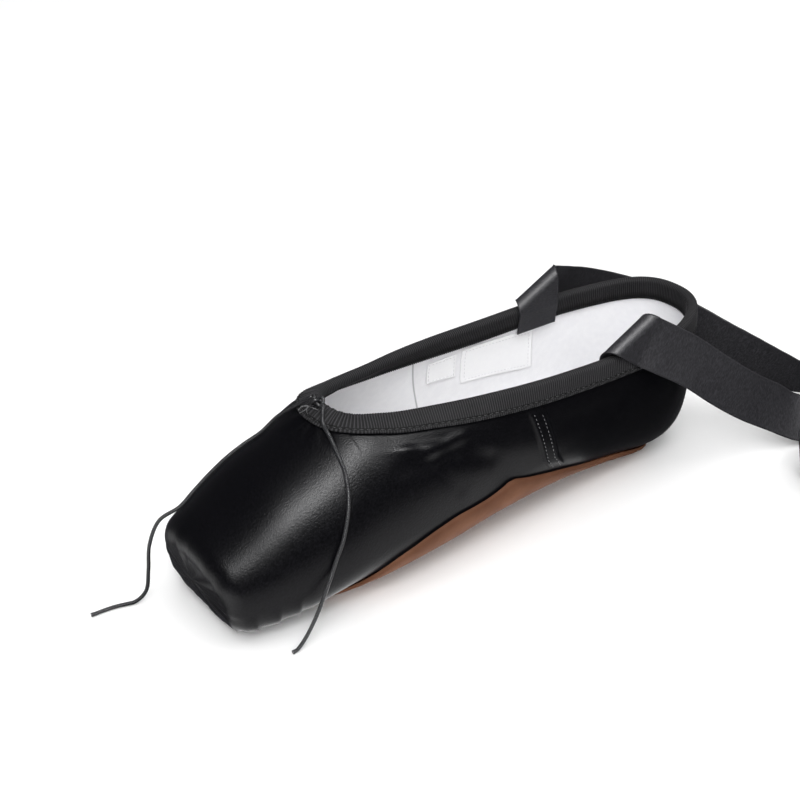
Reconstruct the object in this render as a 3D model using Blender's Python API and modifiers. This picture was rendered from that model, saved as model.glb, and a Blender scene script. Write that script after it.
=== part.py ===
"""Black satin pointe shoe (ballet shoe), standing on its sole with its ribbons untied.

Metres, +Z up. The toe platform points along -Y and the heel along +Y, and the wearer's left side of the
shoe is +X. The origin is on the floor, on the centre plane, where the ball of the foot rests. The last is one
function of two numbers, how far along the shoe and how far round its section, and every piece of the shoe is
read from it.
"""

from collections import namedtuple

import bmesh
import bpy
import numpy as np

# Driving sizes of the last
LENGTH = 0.240  # toe platform to the back of the heel
BALL_PLACE = LENGTH / 4  # platform to the origin, under the ball of the foot
BALL_WIDTH = 0.072
INSTEP_HEIGHT = 0.064  # floor to the top of the vamp just in front of the throat
PLATFORM_EDGE = 0.006  # radius where the flat platform turns into the sides
PLATFORM_LEAN = 0.005  # how far the foot of the platform is tucked back
PLATFORM_CROWN = 0.001
HEEL_ROUND = 0.045  # length of the rounded heel end
HEEL_TUCK = 0.012  # how far the foot of the heel is tucked forward
VAMP_LENGTH = 0.060  # platform to throat
COLLAR_HEIGHT = INSTEP_HEIGHT
ARCH_RISE = 0.006

# Walls and soles
WALL_BOX = 0.0026  # glued layers of the toe box
WALL_QUARTER = 0.0014  # satin, canvas and lining at the heel
GAP = 0.0003  # clearance between neighbouring pieces
SEAT_GAP = 0.00068  # clearance of curved pieces laid on each other, whose flat facets cut their curves
SOLE_WIDTH = BALL_WIDTH - 0.004
SOLE_FRONT = 0.031  # platform to the tip of the outsole
SOLE_BACK = 0.016  # end of the outsole to the back of the heel
SOLE_THICKNESS = 0.0028
SOLE_EDGE = 0.0011
SOLE_FLAT = 0.0007  # depth worn flat where the sole meets the floor
SOLE_TUCK = 0.005  # how far the upper runs in under the outsole
INSOLE_THICKNESS = 0.0022
INSOLE_WIDTH = BALL_WIDTH - 0.016
INSOLE_MARGIN = 0.012  # platform or heel to the end of the insole

# Binding, seams and labels
BINDING_DEPTH = 0.0072
BINDING_THICKNESS = 0.0008
CHANNEL = 0.0010  # room in the fold for the drawstring
SEAM_PLACE = 0.139  # platform to the front ridge of the side seam, at mid height
SEAM_WIDTH = 0.0075
SEAM_SLANT = 0.021  # how far the seam leans forward from the sole to the collar
SEAM_RISE = 0.0006
SEAM_RAMP = 0.0012
SEAM_FADE = 0.003  # height over which it goes flat at the outsole and the binding
SEAM_REACH = 0.030  # how far from the seam the grid bends to follow its slant
LABEL_THICKNESS = 0.0004

# Drawstring
CORD_DIAMETER = 0.0014
KNOT_SIZE = 0.0060
KNOT_DEPTH = 0.0007  # collar line to the knot's middle
KNOT_REST = 0.42  # the knot's middle above the binding, as a share of its size
KNOT_SHARES = (1.0, 0.9, 0.8)  # the lump's width, length and height as shares of its size

# Ribbons
RIBBON_WIDTH = 0.021
RIBBON_THICKNESS = 0.0005

Section = namedtuple("Section", "at width widest top lift low high")
# at: share of LENGTH from the platform. width: share of BALL_WIDTH. widest and top: heights as shares of
# INSTEP_HEIGHT. lift: rise of the bottom as a share of ARCH_RISE. low and high: squareness below and above
# the widest point.
SECTIONS = [
    Section(0.00, 0.71, 0.23, 0.49, -0.25, 3.8, 2.5),
    Section(0.05, 0.83, 0.26, 0.60, -0.30, 3.6, 2.4),
    Section(0.12, 0.93, 0.30, 0.78, -0.15, 3.1, 2.3),
    Section(0.20, 0.99, 0.34, 0.925, 0.00, 2.4, 2.2),
    Section(0.25, 1.00, 0.37, 1.035, 0.00, 2.25, 2.2),
    Section(0.31, 1.00, 0.40, 1.062, 0.00, 2.15, 2.2),
    Section(0.40, 0.97, 0.43, 1.10, 0.15, 2.1, 2.2),
    Section(0.50, 0.92, 0.45, 1.22, 0.70, 2.15, 2.2),
    Section(0.62, 0.89, 0.47, 1.41, 1.00, 2.3, 2.2),
    Section(0.75, 0.88, 0.49, 1.54, 0.70, 2.6, 2.3),
    Section(0.87, 0.84, 0.51, 1.65, 0.05, 3.0, 2.4),
    Section(1.00, 0.81, 0.53, 1.71, 0.00, 3.0, 2.4),
]
HEEL_ROUNDNESS = 2.4

CollarRow = namedtuple("CollarRow", "at height")
# at: share of the collar's length from the throat to the heel. height: share of COLLAR_HEIGHT.
COLLAR = [
    CollarRow(0.00, 1.035),
    CollarRow(0.06, 1.015),
    CollarRow(0.14, 0.995),
    CollarRow(0.30, 0.975),
    CollarRow(0.50, 0.952),
    CollarRow(0.70, 0.948),
    CollarRow(0.87, 0.952),
    CollarRow(1.00, 1.00),
]

SoleRow = namedtuple("SoleRow", "at width")
# at: share of the outsole's length. width: share of SOLE_WIDTH.
SOLE = [
    SoleRow(0.00, 0.00),
    SoleRow(0.06, 0.70),
    SoleRow(0.16, 0.99),
    SoleRow(0.23, 1.035),
    SoleRow(0.31, 1.03),
    SoleRow(0.41, 0.99),
    SoleRow(0.50, 0.96),
    SoleRow(0.60, 0.90),
    SoleRow(0.72, 0.795),
    SoleRow(0.84, 0.71),
    SoleRow(0.93, 0.54),
    SoleRow(0.97, 0.37),
    SoleRow(1.00, 0.00),
]

LabelRow = namedtuple("LabelRow", "name front back foot head fall")
# front and back: shares of LENGTH from the platform. foot and head: section angles of the front edge, in
# degrees. fall: how many degrees lower the back edge sits.
LABELS = [
    LabelRow("label_small", 0.5333, 0.5938, 12.5, 23.5, 3),
    LabelRow("label_large", 0.6062, 0.7688, 5, 21, 6),
]

CordRow = namedtuple("CordRow", "place angle on_tape")
# place: share of LENGTH from the platform. angle: section angle in degrees. The cord lies on the satin there,
# or on the binding where on_tape is 1.
CORD_LEFT = [
    CordRow(0.2321, 77.5, 1),
    CordRow(0.2278, 69, 1),
    CordRow(0.2227, 58.5, 0),
    CordRow(0.2188, 48.8, 0),
    CordRow(0.2104, 38.8, 0),
    CordRow(0.2008, 31.2, 0),
    CordRow(0.1842, 20.5, 0),
    CordRow(0.1690, 12.5, 0),
    CordRow(0.1600, 6, 0),
]
CORD_RIGHT = [
    CordRow(0.2313, 76, 1),
    CordRow(0.2083, 69, 1),
    CordRow(0.1792, 64, 0),
    CordRow(0.1500, 60, 0),
    CordRow(0.1208, 57, 0),
    CordRow(0.0917, 54, 0),
    CordRow(0.0625, 52, 0),
    CordRow(0.0375, 51, 0),
]

Drop = namedtuple("Drop", "x y z")
# Where each drawstring end hangs clear of the satin and comes to lie on the floor, in shares of LENGTH.
DROP_LEFT = [
    Drop(0.1550, -0.1060, 0.0790),
    Drop(0.1585, -0.1265, 0.0450),
    Drop(0.1610, -0.1470, 0.0180),
    Drop(0.1640, -0.1650, 0.0040),
    Drop(0.1655, -0.1750, 0.0029),
]
DROP_RIGHT = [
    Drop(-0.0833, -0.2479, 0.1292),
    Drop(-0.0813, -0.2688, 0.0958),
    Drop(-0.0792, -0.2771, 0.0542),
    Drop(-0.0792, -0.2854, 0.0187),
    Drop(-0.0833, -0.3062, 0.0029),
    Drop(-0.0917, -0.3375, 0.0029),
    Drop(-0.0938, -0.3708, 0.0029),
]

RibbonRow = namedtuple("RibbonRow", "x y z wide_x wide_y wide_z")
# x, y, z: middle of the ribbon, in shares of LENGTH. wide_x, wide_y, wide_z: direction from its lower to its
# upper edge.
RIBBON_LEFT = [
    RibbonRow(0.1450, 0.5810, 0.2510, -0.10, 0.57, 0.81),
    RibbonRow(0.1583, 0.6333, 0.2167, -0.25, 0.25, 0.93),
    RibbonRow(0.1708, 0.6958, 0.1667, -0.22, 0.25, 0.93),
    RibbonRow(0.1833, 0.7583, 0.1208, -0.22, 0.30, 0.92),
    RibbonRow(0.1917, 0.8250, 0.0792, -0.30, 0.35, 0.88),
    RibbonRow(0.2083, 0.8875, 0.0417, -0.50, 0.40, 0.76),
    RibbonRow(0.2500, 0.9500, 0.0354, -0.40, 0.45, 0.72),
    RibbonRow(0.3083, 0.9833, 0.0396, -0.05, 0.40, 0.88),
    RibbonRow(0.3708, 0.9708, 0.0438, 0.15, 0.20, 0.97),
    RibbonRow(0.4083, 0.9250, 0.0438, 0.25, 0.10, 0.97),
    RibbonRow(0.4208, 0.8667, 0.0438, 0.20, -0.05, 0.97),
    RibbonRow(0.4083, 0.8042, 0.0438, 0.10, -0.15, 0.97),
    RibbonRow(0.3625, 0.7625, 0.0438, 0.00, -0.20, 0.97),
    RibbonRow(0.3083, 0.7708, 0.0438, -0.10, -0.15, 0.97),
    RibbonRow(0.2833, 0.8167, 0.0438, -0.20, 0.00, 0.97),
    RibbonRow(0.3083, 0.8625, 0.0438, -0.10, 0.15, 0.97),
    RibbonRow(0.3583, 0.8667, 0.0438, 0.05, 0.15, 0.97),
]
RIBBON_RIGHT = [
    RibbonRow(-0.1458, 0.6000, 0.2550, 0.10, 0.52, 0.85),
    RibbonRow(-0.1542, 0.6625, 0.2333, 0.20, 0.30, 0.93),
    RibbonRow(-0.1417, 0.7292, 0.2083, 0.20, 0.20, 0.95),
    RibbonRow(-0.1000, 0.7917, 0.1833, 0.15, 0.15, 0.96),
    RibbonRow(-0.0375, 0.8375, 0.1542, 0.10, 0.05, 0.98),
    RibbonRow(0.0208, 0.8875, 0.1167, 0.10, -0.05, 0.98),
    RibbonRow(0.0667, 0.9500, 0.0750, 0.15, -0.20, 0.95),
    RibbonRow(0.1125, 1.0125, 0.0417, 0.20, -0.35, 0.85),
    RibbonRow(0.1667, 1.0708, 0.0396, 0.10, -0.30, 0.88),
    RibbonRow(0.2292, 1.1042, 0.0417, 0.05, -0.15, 0.94),
    RibbonRow(0.3000, 1.1083, 0.0438, 0.05, 0.10, 0.97),
    RibbonRow(0.3625, 1.1375, 0.0438, 0.15, -0.10, 0.97),
    RibbonRow(0.3875, 1.1958, 0.0438, 0.20, 0.05, 0.97),
    RibbonRow(0.3583, 1.2500, 0.0438, 0.05, 0.20, 0.97),
    RibbonRow(0.2958, 1.2625, 0.0438, -0.10, 0.15, 0.97),
    RibbonRow(0.2417, 1.2292, 0.0438, -0.15, 0.05, 0.97),
    RibbonRow(0.1833, 1.2125, 0.0438, -0.05, -0.10, 0.97),
]
RIBBON_SEWN_LEFT = 0.761 * LENGTH  # platform to the middle of the ribbon where it is sewn in
RIBBON_SEWN_RIGHT = 0.767 * LENGTH
RIBBON_SEWN_DEPTH = 0.0095  # collar line to the sewn end
RIBBON_FOLD_RISE = 0.0058  # collar line to the middle of the fold
RIBBON_FOLD_SLOPE = 27  # slope of the fold line, in degrees, rising towards the heel
RIBBON_ROLL = 0.0034  # radius at which the ribbon rolls over the collar

# Rows and columns of the meshes
TOE_ROWS = [-2, -1.5, -1, -0.6, -0.25]  # stations on the platform and its rounded edge
BODY_ROWS = 19
HEEL_ROWS = 9
UPPER_COLUMNS = 16
UPPER_SPREAD = 1.15  # power that draws the upper's columns together towards the sole
OUTSOLE_COLUMNS = 9
INSOLE_COLUMNS = 5
RIBBON_FOLD_ROWS = 12
RIBBON_FREE_ROWS = 27
RIBBON_COLUMNS = 4
SEWN_ROWS = 3
CORD_POINTS = 30
OPENING_STEPS = np.array([0.0, 0.0003, 0.0010, 0.0025, 0.0055])  # rows behind where an edge opens
CLOSEST_ROWS = 0.0035  # even rows nearer than this to a special one are left out


def column(table, name):
    """One named column of a table, as an array."""
    return np.array([getattr(row, name) for row in table], float)


def eased(at, values, x):
    """A smooth cubic through the points (at, values), read at x."""
    steps = np.diff(values) / np.diff(at)
    slopes = np.concatenate([steps[:1], (steps[1:] + steps[:-1]) / 2, steps[-1:]])
    i = np.clip(np.searchsorted(at, x, side="right") - 1, 0, len(at) - 2)
    span = at[i + 1] - at[i]
    t = np.clip((x - at[i]) / span, 0, 1)
    start = values[i] * (1 + 2 * t) * (1 - t) ** 2 + slopes[i] * span * t * (1 - t) ** 2
    end = values[i + 1] * t * t * (3 - 2 * t) + slopes[i + 1] * span * t * t * (t - 1)
    return start + end


def ring(angle, squareness):
    """A superellipse of half-widths 1 and 1, read at an angle: its two coordinates."""
    c, s = np.cos(angle), np.sin(angle)
    reach = (np.abs(c) ** squareness + np.abs(s) ** squareness) ** (1 / squareness)
    return c / reach, s / reach


def ring_angle(rise, squareness):
    """The angle at which a unit superellipse has risen this far."""
    rise = np.clip(rise, 0, 1)
    return np.arctan2(rise, np.maximum(1 - rise**squareness, 0) ** (1 / squareness))


def station(along):
    """Where a station is. along runs from -2 at the platform's centre to -1 at its rim, 0 behind its rounded
    edge, 1 where the heel starts to round and 2 at the back of the heel. It gives the distance from the
    platform, the heel's taper, the inset of the rounded edge and the share of the flat platform."""
    along = np.asarray(along, float)
    turn = np.clip(-along, 0, 1) * np.pi / 2
    back = np.clip(along - 1, 0, 1) * np.pi / 2
    taper, reach = ring(back, HEEL_ROUNDNESS)
    straight = LENGTH - HEEL_ROUND - PLATFORM_EDGE
    place = PLATFORM_EDGE * (1 - np.sin(turn)) + straight * np.clip(along, 0, 1) + HEEL_ROUND * reach
    inset = PLATFORM_EDGE * (1 - np.cos(turn))
    flat = np.clip(along + 2, 0, 1)
    return place, taper, inset, flat


def along_at(place):
    """The station at this distance from the platform, behind the platform's rounded edge."""
    straight = LENGTH - HEEL_ROUND - PLATFORM_EDGE
    share = (place - PLATFORM_EDGE) / straight
    back = ring_angle((place - LENGTH + HEEL_ROUND) / HEEL_ROUND, HEEL_ROUNDNESS) / (np.pi / 2)
    return np.where(share < 1, share, 1 + back)


def section_sizes(place):
    """Half-width, heights of widest point, top and bottom, and both squarenesses of the section there."""
    at = column(SECTIONS, "at") * LENGTH
    half = eased(at, column(SECTIONS, "width"), place) * BALL_WIDTH / 2
    widest = eased(at, column(SECTIONS, "widest"), place) * INSTEP_HEIGHT
    top = eased(at, column(SECTIONS, "top"), place) * INSTEP_HEIGHT
    ground = SOLE_THICKNESS + SEAT_GAP - SOLE_FLAT
    bottom = ground + eased(at, column(SECTIONS, "lift"), place) * ARCH_RISE
    low = eased(at, column(SECTIONS, "low"), place)
    high = eased(at, column(SECTIONS, "high"), place)
    return half, widest, top, bottom, low, high


def last(along, angle):
    """A point on the outside of the upper, on the +X half. angle is -90 degrees at the bottom's centre line,
    0 at the widest point and 90 at the top's centre line."""
    along, angle = np.broadcast_arrays(np.asarray(along, float), np.asarray(angle, float))
    place, taper, inset, flat = station(along)
    half, widest, top, bottom, low, high = section_sizes(place)
    squareness = np.where(angle > 0, high, low)
    across, rise = ring(angle, squareness)
    reach = np.where(angle > 0, top - inset - widest, widest - bottom - inset)
    middle = (top + bottom) / 2
    x = (half * taper - inset) * across * flat
    z = middle + (widest + reach * rise - middle) * flat
    heel_share = np.clip(1 - (LENGTH - place) / HEEL_ROUND, 0, 1) ** 2
    below = np.clip((widest - z) / (widest - bottom), 0, 1)
    tucked = HEEL_TUCK * (1 - np.sqrt(1 - below**2))
    toe_share = np.clip(1 - place / VAMP_LENGTH, 0, 1) ** 3
    leaned = PLATFORM_LEAN * (1 - z / top)
    crown = PLATFORM_CROWN * (1 - flat**2)
    y = place - BALL_PLACE - heel_share * tucked + toe_share * leaned - crown
    return np.stack([x, y, z], axis=-1)


def tangents(along, angle, step=1e-4):
    """How the last's point moves along the shoe and round its section."""
    lengthwise = (last(along + step, angle) - last(along - step, angle)) / (2 * step)
    around = (last(along, angle + step) - last(along, angle - step)) / (2 * step)
    return lengthwise, around


def outward(along, angle):
    """The last's unit normal, pointing out of the shoe."""
    along = np.clip(along, -1.999, 1.999)
    angle = np.clip(angle, -np.pi / 2 + 1e-3, np.pi / 2 - 1e-3)
    lengthwise, around = tangents(along, angle)
    normal = np.cross(lengthwise, around)
    return normal / np.linalg.norm(normal, axis=-1, keepdims=True)


def collar_angle(along):
    """The section angle at which the upper ends at the collar, or 90 degrees in front of the throat."""
    place = station(along)[0]
    half, widest, top, bottom, low, high = section_sizes(place)
    share = (place - VAMP_LENGTH) / (LENGTH - VAMP_LENGTH)
    height = eased(column(COLLAR, "at"), column(COLLAR, "height"), share) * COLLAR_HEIGHT
    return np.where(share <= 0, np.pi / 2, ring_angle((height - widest) / (top - widest), high))


def edge_angle(along, front, back, width):
    """The section angle at the edge of a sole-shaped outline, or -90 degrees outside it."""
    place, taper = station(along)[:2]
    at = front + column(SOLE, "at") * (back - front)
    half, widest, top, bottom, low, high = section_sizes(place)
    reach = np.sqrt(np.maximum(eased(at, (column(SOLE, "width") * width / 2) ** 2, place), 0))
    inside = (place > front) & (place < back)
    out = np.where(inside, np.clip(reach / np.maximum(half * taper, 1e-6), 0, 0.9999), 0)
    return -ring_angle((1 - out**low) ** (1 / low), low)


def sole_angle(along):
    """The section angle at the outsole's edge."""
    return edge_angle(along, SOLE_FRONT, LENGTH - SOLE_BACK, SOLE_WIDTH)


def opening_angle(along):
    """The section angle where the upper ends underneath, tucked in under the insole."""
    front, back = SOLE_FRONT + SOLE_TUCK, LENGTH - SOLE_BACK - SOLE_TUCK
    return edge_angle(along, front, back, SOLE_WIDTH - 2 * SOLE_TUCK)


def seam_relief(along, angle, share):
    """Height of the lapped side seam above the satin. share runs from 0 at the sole to 1 at the collar. The
    seam goes flat before it runs in under the outsole and the binding."""
    behind = station(along)[0] - SEAM_PLACE - SEAM_SLANT * (0.5 - share)
    ramp_up = np.clip(behind / SEAM_RAMP + 0.5, 0, 1)
    ramp_down = np.clip((SEAM_WIDTH - behind) / SEAM_RAMP + 0.5, 0, 1)
    height = last(along, angle)[..., 2]
    above_sole = np.clip((height - last(along, sole_angle(along))[..., 2]) / SEAM_FADE - 0.5, 0, 1)
    below_tape = last(along, collar_angle(along))[..., 2] - BINDING_DEPTH - height
    return SEAM_RISE * np.minimum(ramp_up, ramp_down) * above_sole * np.clip(below_tape / SEAM_FADE, 0, 1)


def wall(along):
    """Thickness of the upper, from the glued toe box to the soft quarter."""
    place = station(along)[0]
    ease = np.clip((place - VAMP_LENGTH / 2) / VAMP_LENGTH, 0, 1)
    return WALL_BOX + (WALL_QUARTER - WALL_BOX) * ease * ease * (3 - 2 * ease)


def even_places():
    """Distances from the platform at which every lengthwise piece has a row."""
    heel = station(np.linspace(1, 2, HEEL_ROWS)[1:])[0]
    return np.concatenate([np.linspace(PLATFORM_EDGE, LENGTH - HEEL_ROUND, BODY_ROWS), heel])


def outline_stations(front, back):
    """Rows for a sole-shaped piece: the even ones between its ends, and closer ones at its rounded ends."""
    places = even_places()
    clear = 1.5 * OPENING_STEPS[-1]
    inner = places[(places > front + clear) & (places < back - clear)]
    return along_at(np.concatenate([front + OPENING_STEPS, inner, back - OPENING_STEPS[::-1]]))


def upper_stations():
    """Stations of the upper: even steps, closer where the throat and the underside open and at the seam."""
    spread = np.linspace(PLATFORM_EDGE, LENGTH - HEEL_ROUND, BODY_ROWS)
    sole_opens = SOLE_FRONT + SOLE_TUCK + OPENING_STEPS
    throat_opens = VAMP_LENGTH + OPENING_STEPS
    seam = SEAM_PLACE + np.array([-0.5, 0.5]) * SEAM_RAMP
    seam = np.concatenate([seam, seam + SEAM_WIDTH])
    special = np.sort(np.concatenate([sole_opens, throat_opens, seam]))
    plain = [place for place in spread if np.min(np.abs(special - place)) > CLOSEST_ROWS]
    heel = np.linspace(1, 2, HEEL_ROWS)[1:]
    middle = along_at(np.sort(np.concatenate([special, plain])))
    return np.concatenate([TOE_ROWS, middle, heel])


def slanted(along, share):
    """Stations bent near the side seam so that they run along its slant."""
    place = station(along)[0]
    near = np.clip(1 - np.abs(place - SEAM_PLACE - SEAM_WIDTH / 2) / SEAM_REACH, 0, 1)
    bent = place + SEAM_SLANT * (0.5 - share) * np.minimum(1, 2 * near)
    return np.where(near > 0, along_at(bent), along)


def collection(name):
    """A new collection in the scene."""
    made = bpy.data.collections.new(name)
    bpy.context.scene.collection.children.link(made)
    return made


def material(name, color, roughness):
    """A plain Principled finish."""
    made = bpy.data.materials.new(name)
    made.use_nodes = True
    shader = made.node_tree.nodes["Principled BSDF"]
    shader.inputs["Base Color"].default_value = (*color, 1)
    shader.inputs["Roughness"].default_value = roughness
    made.diffuse_color = (*color, 1)
    return made


def loft(name, points, finish, weights=None):
    """An object whose faces span a grid of points, with doubled points merged. weights, a share for each
    point, go into a vertex group named wall."""
    rows, columns = points.shape[:2]
    mesh = bpy.data.meshes.new(name)
    bm = bmesh.new()
    share = bm.verts.layers.deform.verify()
    grid = [[bm.verts.new(points[i, j]) for j in range(columns)] for i in range(rows)]
    for i in range(rows):
        for j in range(columns):
            grid[i][j][share][0] = 1.0 if weights is None else float(weights[i, j])
    for i in range(rows - 1):
        for j in range(columns - 1):
            bm.faces.new((grid[i][j], grid[i + 1][j], grid[i + 1][j + 1], grid[i][j + 1]))
    bmesh.ops.remove_doubles(bm, verts=bm.verts, dist=1e-5)
    bmesh.ops.dissolve_degenerate(bm, edges=bm.edges, dist=1e-6)
    bm.to_mesh(mesh)
    bm.free()
    mesh.shade_smooth()
    mesh.materials.append(finish)
    made = bpy.data.objects.new(name, mesh)
    made.vertex_groups.new(name="wall")
    parts.objects.link(made)
    return made


def mirror(made):
    """Adds the -X half."""
    step = made.modifiers.new("other_half", "MIRROR")
    step.use_axis = (True, False, False)
    step.use_clip = True
    step.merge_threshold = 0.0001


def solidify(made, thickness, offset):
    """Gives an open surface a wall, scaled by its wall weights. offset -1 grows it inward, 1 outward."""
    step = made.modifiers.new("wall", "SOLIDIFY")
    step.thickness = thickness
    step.offset = offset
    step.use_even_offset = False
    step.use_quality_normals = True
    step.vertex_group = "wall"
    step.thickness_vertex_group = 0.0


def make_upper(finish):
    """The satin upper: box, vamp and quarters in one wall, open at the collar and under the foot."""
    share = np.linspace(0, 1, UPPER_COLUMNS)[None, :] ** UPPER_SPREAD
    along = upper_stations()[:, None]
    along = slanted(along, share)
    low = opening_angle(along)
    high = collar_angle(along)
    angle = low + (high - low) * share
    relief = seam_relief(along, angle, share)
    points = last(along, angle) + relief[..., None] * outward(along, angle)
    points[..., 0] = np.where(np.abs(points[..., 0]) < 2e-5, 0, points[..., 0])
    thick = wall(along) + relief
    made = loft("upper", points, finish, thick / WALL_BOX)
    mirror(made)
    solidify(made, WALL_BOX, -1)
    return made


def make_outsole(finish, cutters):
    """The leather outsole: a trough under the last, skived at its edge and worn flat at ball and heel."""
    share = np.linspace(0, 1, OUTSOLE_COLUMNS)[None, :]
    along = outline_stations(SOLE_FRONT, LENGTH - SOLE_BACK)[:, None] + 0 * share
    angle = -np.pi / 2 + (sole_angle(along) + np.pi / 2) * share
    points = last(along, angle) + SEAT_GAP * outward(along, angle)
    points[:, 0, 0] = 0
    points[0] = points[0, 0]
    points[-1] = points[-1, 0]
    skive = 1 - (1 - SOLE_EDGE / SOLE_THICKNESS) * share**4
    made = loft("outsole", points, finish, skive + 0 * along)
    mirror(made)
    solidify(made, SOLE_THICKNESS, 1)
    bpy.ops.mesh.primitive_cube_add(size=2 * LENGTH, location=(0, 0, -LENGTH))
    floor = bpy.context.active_object
    floor.name = "floor_cutter"
    for holder in list(floor.users_collection):
        holder.objects.unlink(floor)
    cutters.objects.link(floor)
    floor.hide_render = True
    floor.display_type = "WIRE"
    cut = made.modifiers.new("worn_flat", "BOOLEAN")
    cut.object = floor
    cut.operation = "DIFFERENCE"
    return made


def make_insole(finish):
    """The insole board: it lies on the upper's tucked margin and curls up a little at its edge."""
    share = np.linspace(0, 1, INSOLE_COLUMNS)[None, :]
    front, back = INSOLE_MARGIN, LENGTH - INSOLE_MARGIN
    along = outline_stations(front, back)[:, None] + 0 * share
    edge = edge_angle(along, front, back, INSOLE_WIDTH)
    angle = -np.pi / 2 + (edge + np.pi / 2) * share
    points = last(along, angle) - (wall(along) + SEAT_GAP + GAP)[..., None] * outward(along, angle)
    points[:, 0, 0] = 0
    points[0] = points[0, 0]
    points[-1] = points[-1, 0]
    made = loft("insole", points, finish)
    mirror(made)
    solidify(made, INSOLE_THICKNESS, -1)
    return made


def shift_on_last(along, angle, direction, distance):
    """The station and angle reached by going this distance over the last in a 3-D direction."""
    lengthwise, around = tangents(along, angle)
    a = np.sum(lengthwise * lengthwise, -1)
    b = np.sum(lengthwise * around, -1)
    c = np.sum(around * around, -1)
    p = np.sum(lengthwise * direction, -1) * distance
    q = np.sum(around * direction, -1) * distance
    det = a * c - b * b
    return along + (c * p - b * q) / det, angle + (a * q - b * p) / det


def collar_frame():
    """Stations of the +X collar line from throat to heel, with its angles and its outward-down directions."""
    along = upper_stations()
    along = along[along >= along_at(np.array(VAMP_LENGTH)) - 1e-9]
    along = slanted(along, 1.0)
    angle = collar_angle(along)
    points = last(along, angle)
    other = points[::-1] * [-1, 1, 1]
    loop = np.concatenate([points, other[1:-1]])
    run = np.roll(loop, -1, axis=0) - np.roll(loop, 1, axis=0)
    run = run[: len(points)]
    run[0] = [1, 0, 0]
    run[-1] = [-1, 0, 0]
    down = np.cross(outward(along, angle), run)
    down = down / np.linalg.norm(down, axis=-1, keepdims=True)
    down[down[:, 2] > 0.2] *= -1
    return along, angle, down


def over_collar(along, angle, down, depth, lift):
    """Points at this depth below the collar line and this far out of the last. Above the line they go
    straight up against the down direction."""
    a, g = shift_on_last(along, angle, down, max(depth, 0) / 2)
    a, g = shift_on_last(a, g, down, max(depth, 0) / 2)
    return last(a, g) + np.asarray(lift)[..., None] * outward(a, g) - min(depth, 0) * -down


def make_binding(finish):
    """The ribbed tape folded over the collar's edge, one leg outside the upper and one inside."""
    along, angle, down = collar_frame()
    inner = -(wall(along) + SEAT_GAP)
    out_face, out_skin = SEAT_GAP, SEAT_GAP + BINDING_THICKNESS
    inner_skin = inner - BINDING_THICKNESS
    mid = (out_skin + inner_skin) / 2
    leg = BINDING_DEPTH
    zero = 0 * along
    profile = [
        (leg, zero + out_face),
        (leg, zero + out_skin),
        (leg / 2, zero + out_skin),
        (0.0, zero + out_skin),
        (-CHANNEL - BINDING_THICKNESS, 0.6 * out_skin + 0.4 * mid),
        (-CHANNEL - BINDING_THICKNESS, 0.6 * inner_skin + 0.4 * mid),
        (0.0, inner_skin),
        (leg / 2, inner_skin),
        (leg, inner_skin),
        (leg, inner),
        (leg / 2, inner),
        (-CHANNEL, inner),
        (-CHANNEL, zero + out_face),
        (leg / 2, zero + out_face),
        (leg, zero + out_face),
    ]
    points = np.stack([over_collar(along, angle, down, depth, lift) for depth, lift in profile], axis=1)
    points[0, :, 0] = 0
    points[-1, :, 0] = 0
    made = loft("binding", points, finish)
    mirror(made)
    return made


def make_label(row, finish):
    """A bare cloth label on the inside of the -X wall."""
    share = np.linspace(0, 1, 6)[:, None]
    along = along_at(LENGTH * (row.front + (row.back - row.front) * share))
    angle = np.radians(np.linspace(row.foot, row.head, 4)[None, :] - row.fall * share)
    along, angle = np.broadcast_arrays(along, angle)
    points = last(along, angle) - (wall(along) + GAP)[..., None] * outward(along, angle)
    made = loft(row.name, points * [-1, 1, 1], finish)
    solidify(made, LABEL_THICKNESS, 1)
    return made


def smooth_path(points, count):
    """Points spaced evenly along a smooth curve through the given ones."""
    points = np.asarray(points, float)
    knots = np.arange(len(points), dtype=float)
    t = np.linspace(0, len(points) - 1, 40 * len(points))
    fine = np.stack([eased(knots, points[:, k], t) for k in range(points.shape[1])], axis=-1)
    run = np.concatenate([[0], np.cumsum(np.linalg.norm(np.diff(fine[:, :3], axis=0), axis=1))])
    even = np.linspace(0, run[-1], count)
    return np.stack([np.interp(even, run, fine[:, k]) for k in range(points.shape[1])], axis=-1)


def knot_center():
    """Middle of the knot, on the binding at the throat."""
    rest = SEAT_GAP + BINDING_THICKNESS + GAP
    along = along_at(np.array(VAMP_LENGTH - KNOT_DEPTH))
    base = last(along, np.pi / 2)
    return base + (rest + KNOT_SIZE * KNOT_REST) * outward(along, np.pi / 2)


def cord_route(side, rows, drop):
    """The centre line of one end of the drawstring, from the knot over the satin to the floor."""
    along = along_at(column(rows, "place") * LENGTH)
    angle = np.radians(column(rows, "angle"))
    clear = GAP + CORD_DIAMETER / 2
    lift = clear + column(rows, "on_tape") * (SEAT_GAP + BINDING_THICKNESS)
    over = (last(along, angle) + lift[:, None] * outward(along, angle)) * [side, 1, 1]
    start = knot_center() + np.array([side * (KNOT_SIZE + CORD_DIAMETER) / 2, 0, 0])
    fall = np.array([[row.x, row.y, row.z] for row in drop]) * LENGTH
    return np.concatenate([[start], over, fall])


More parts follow.
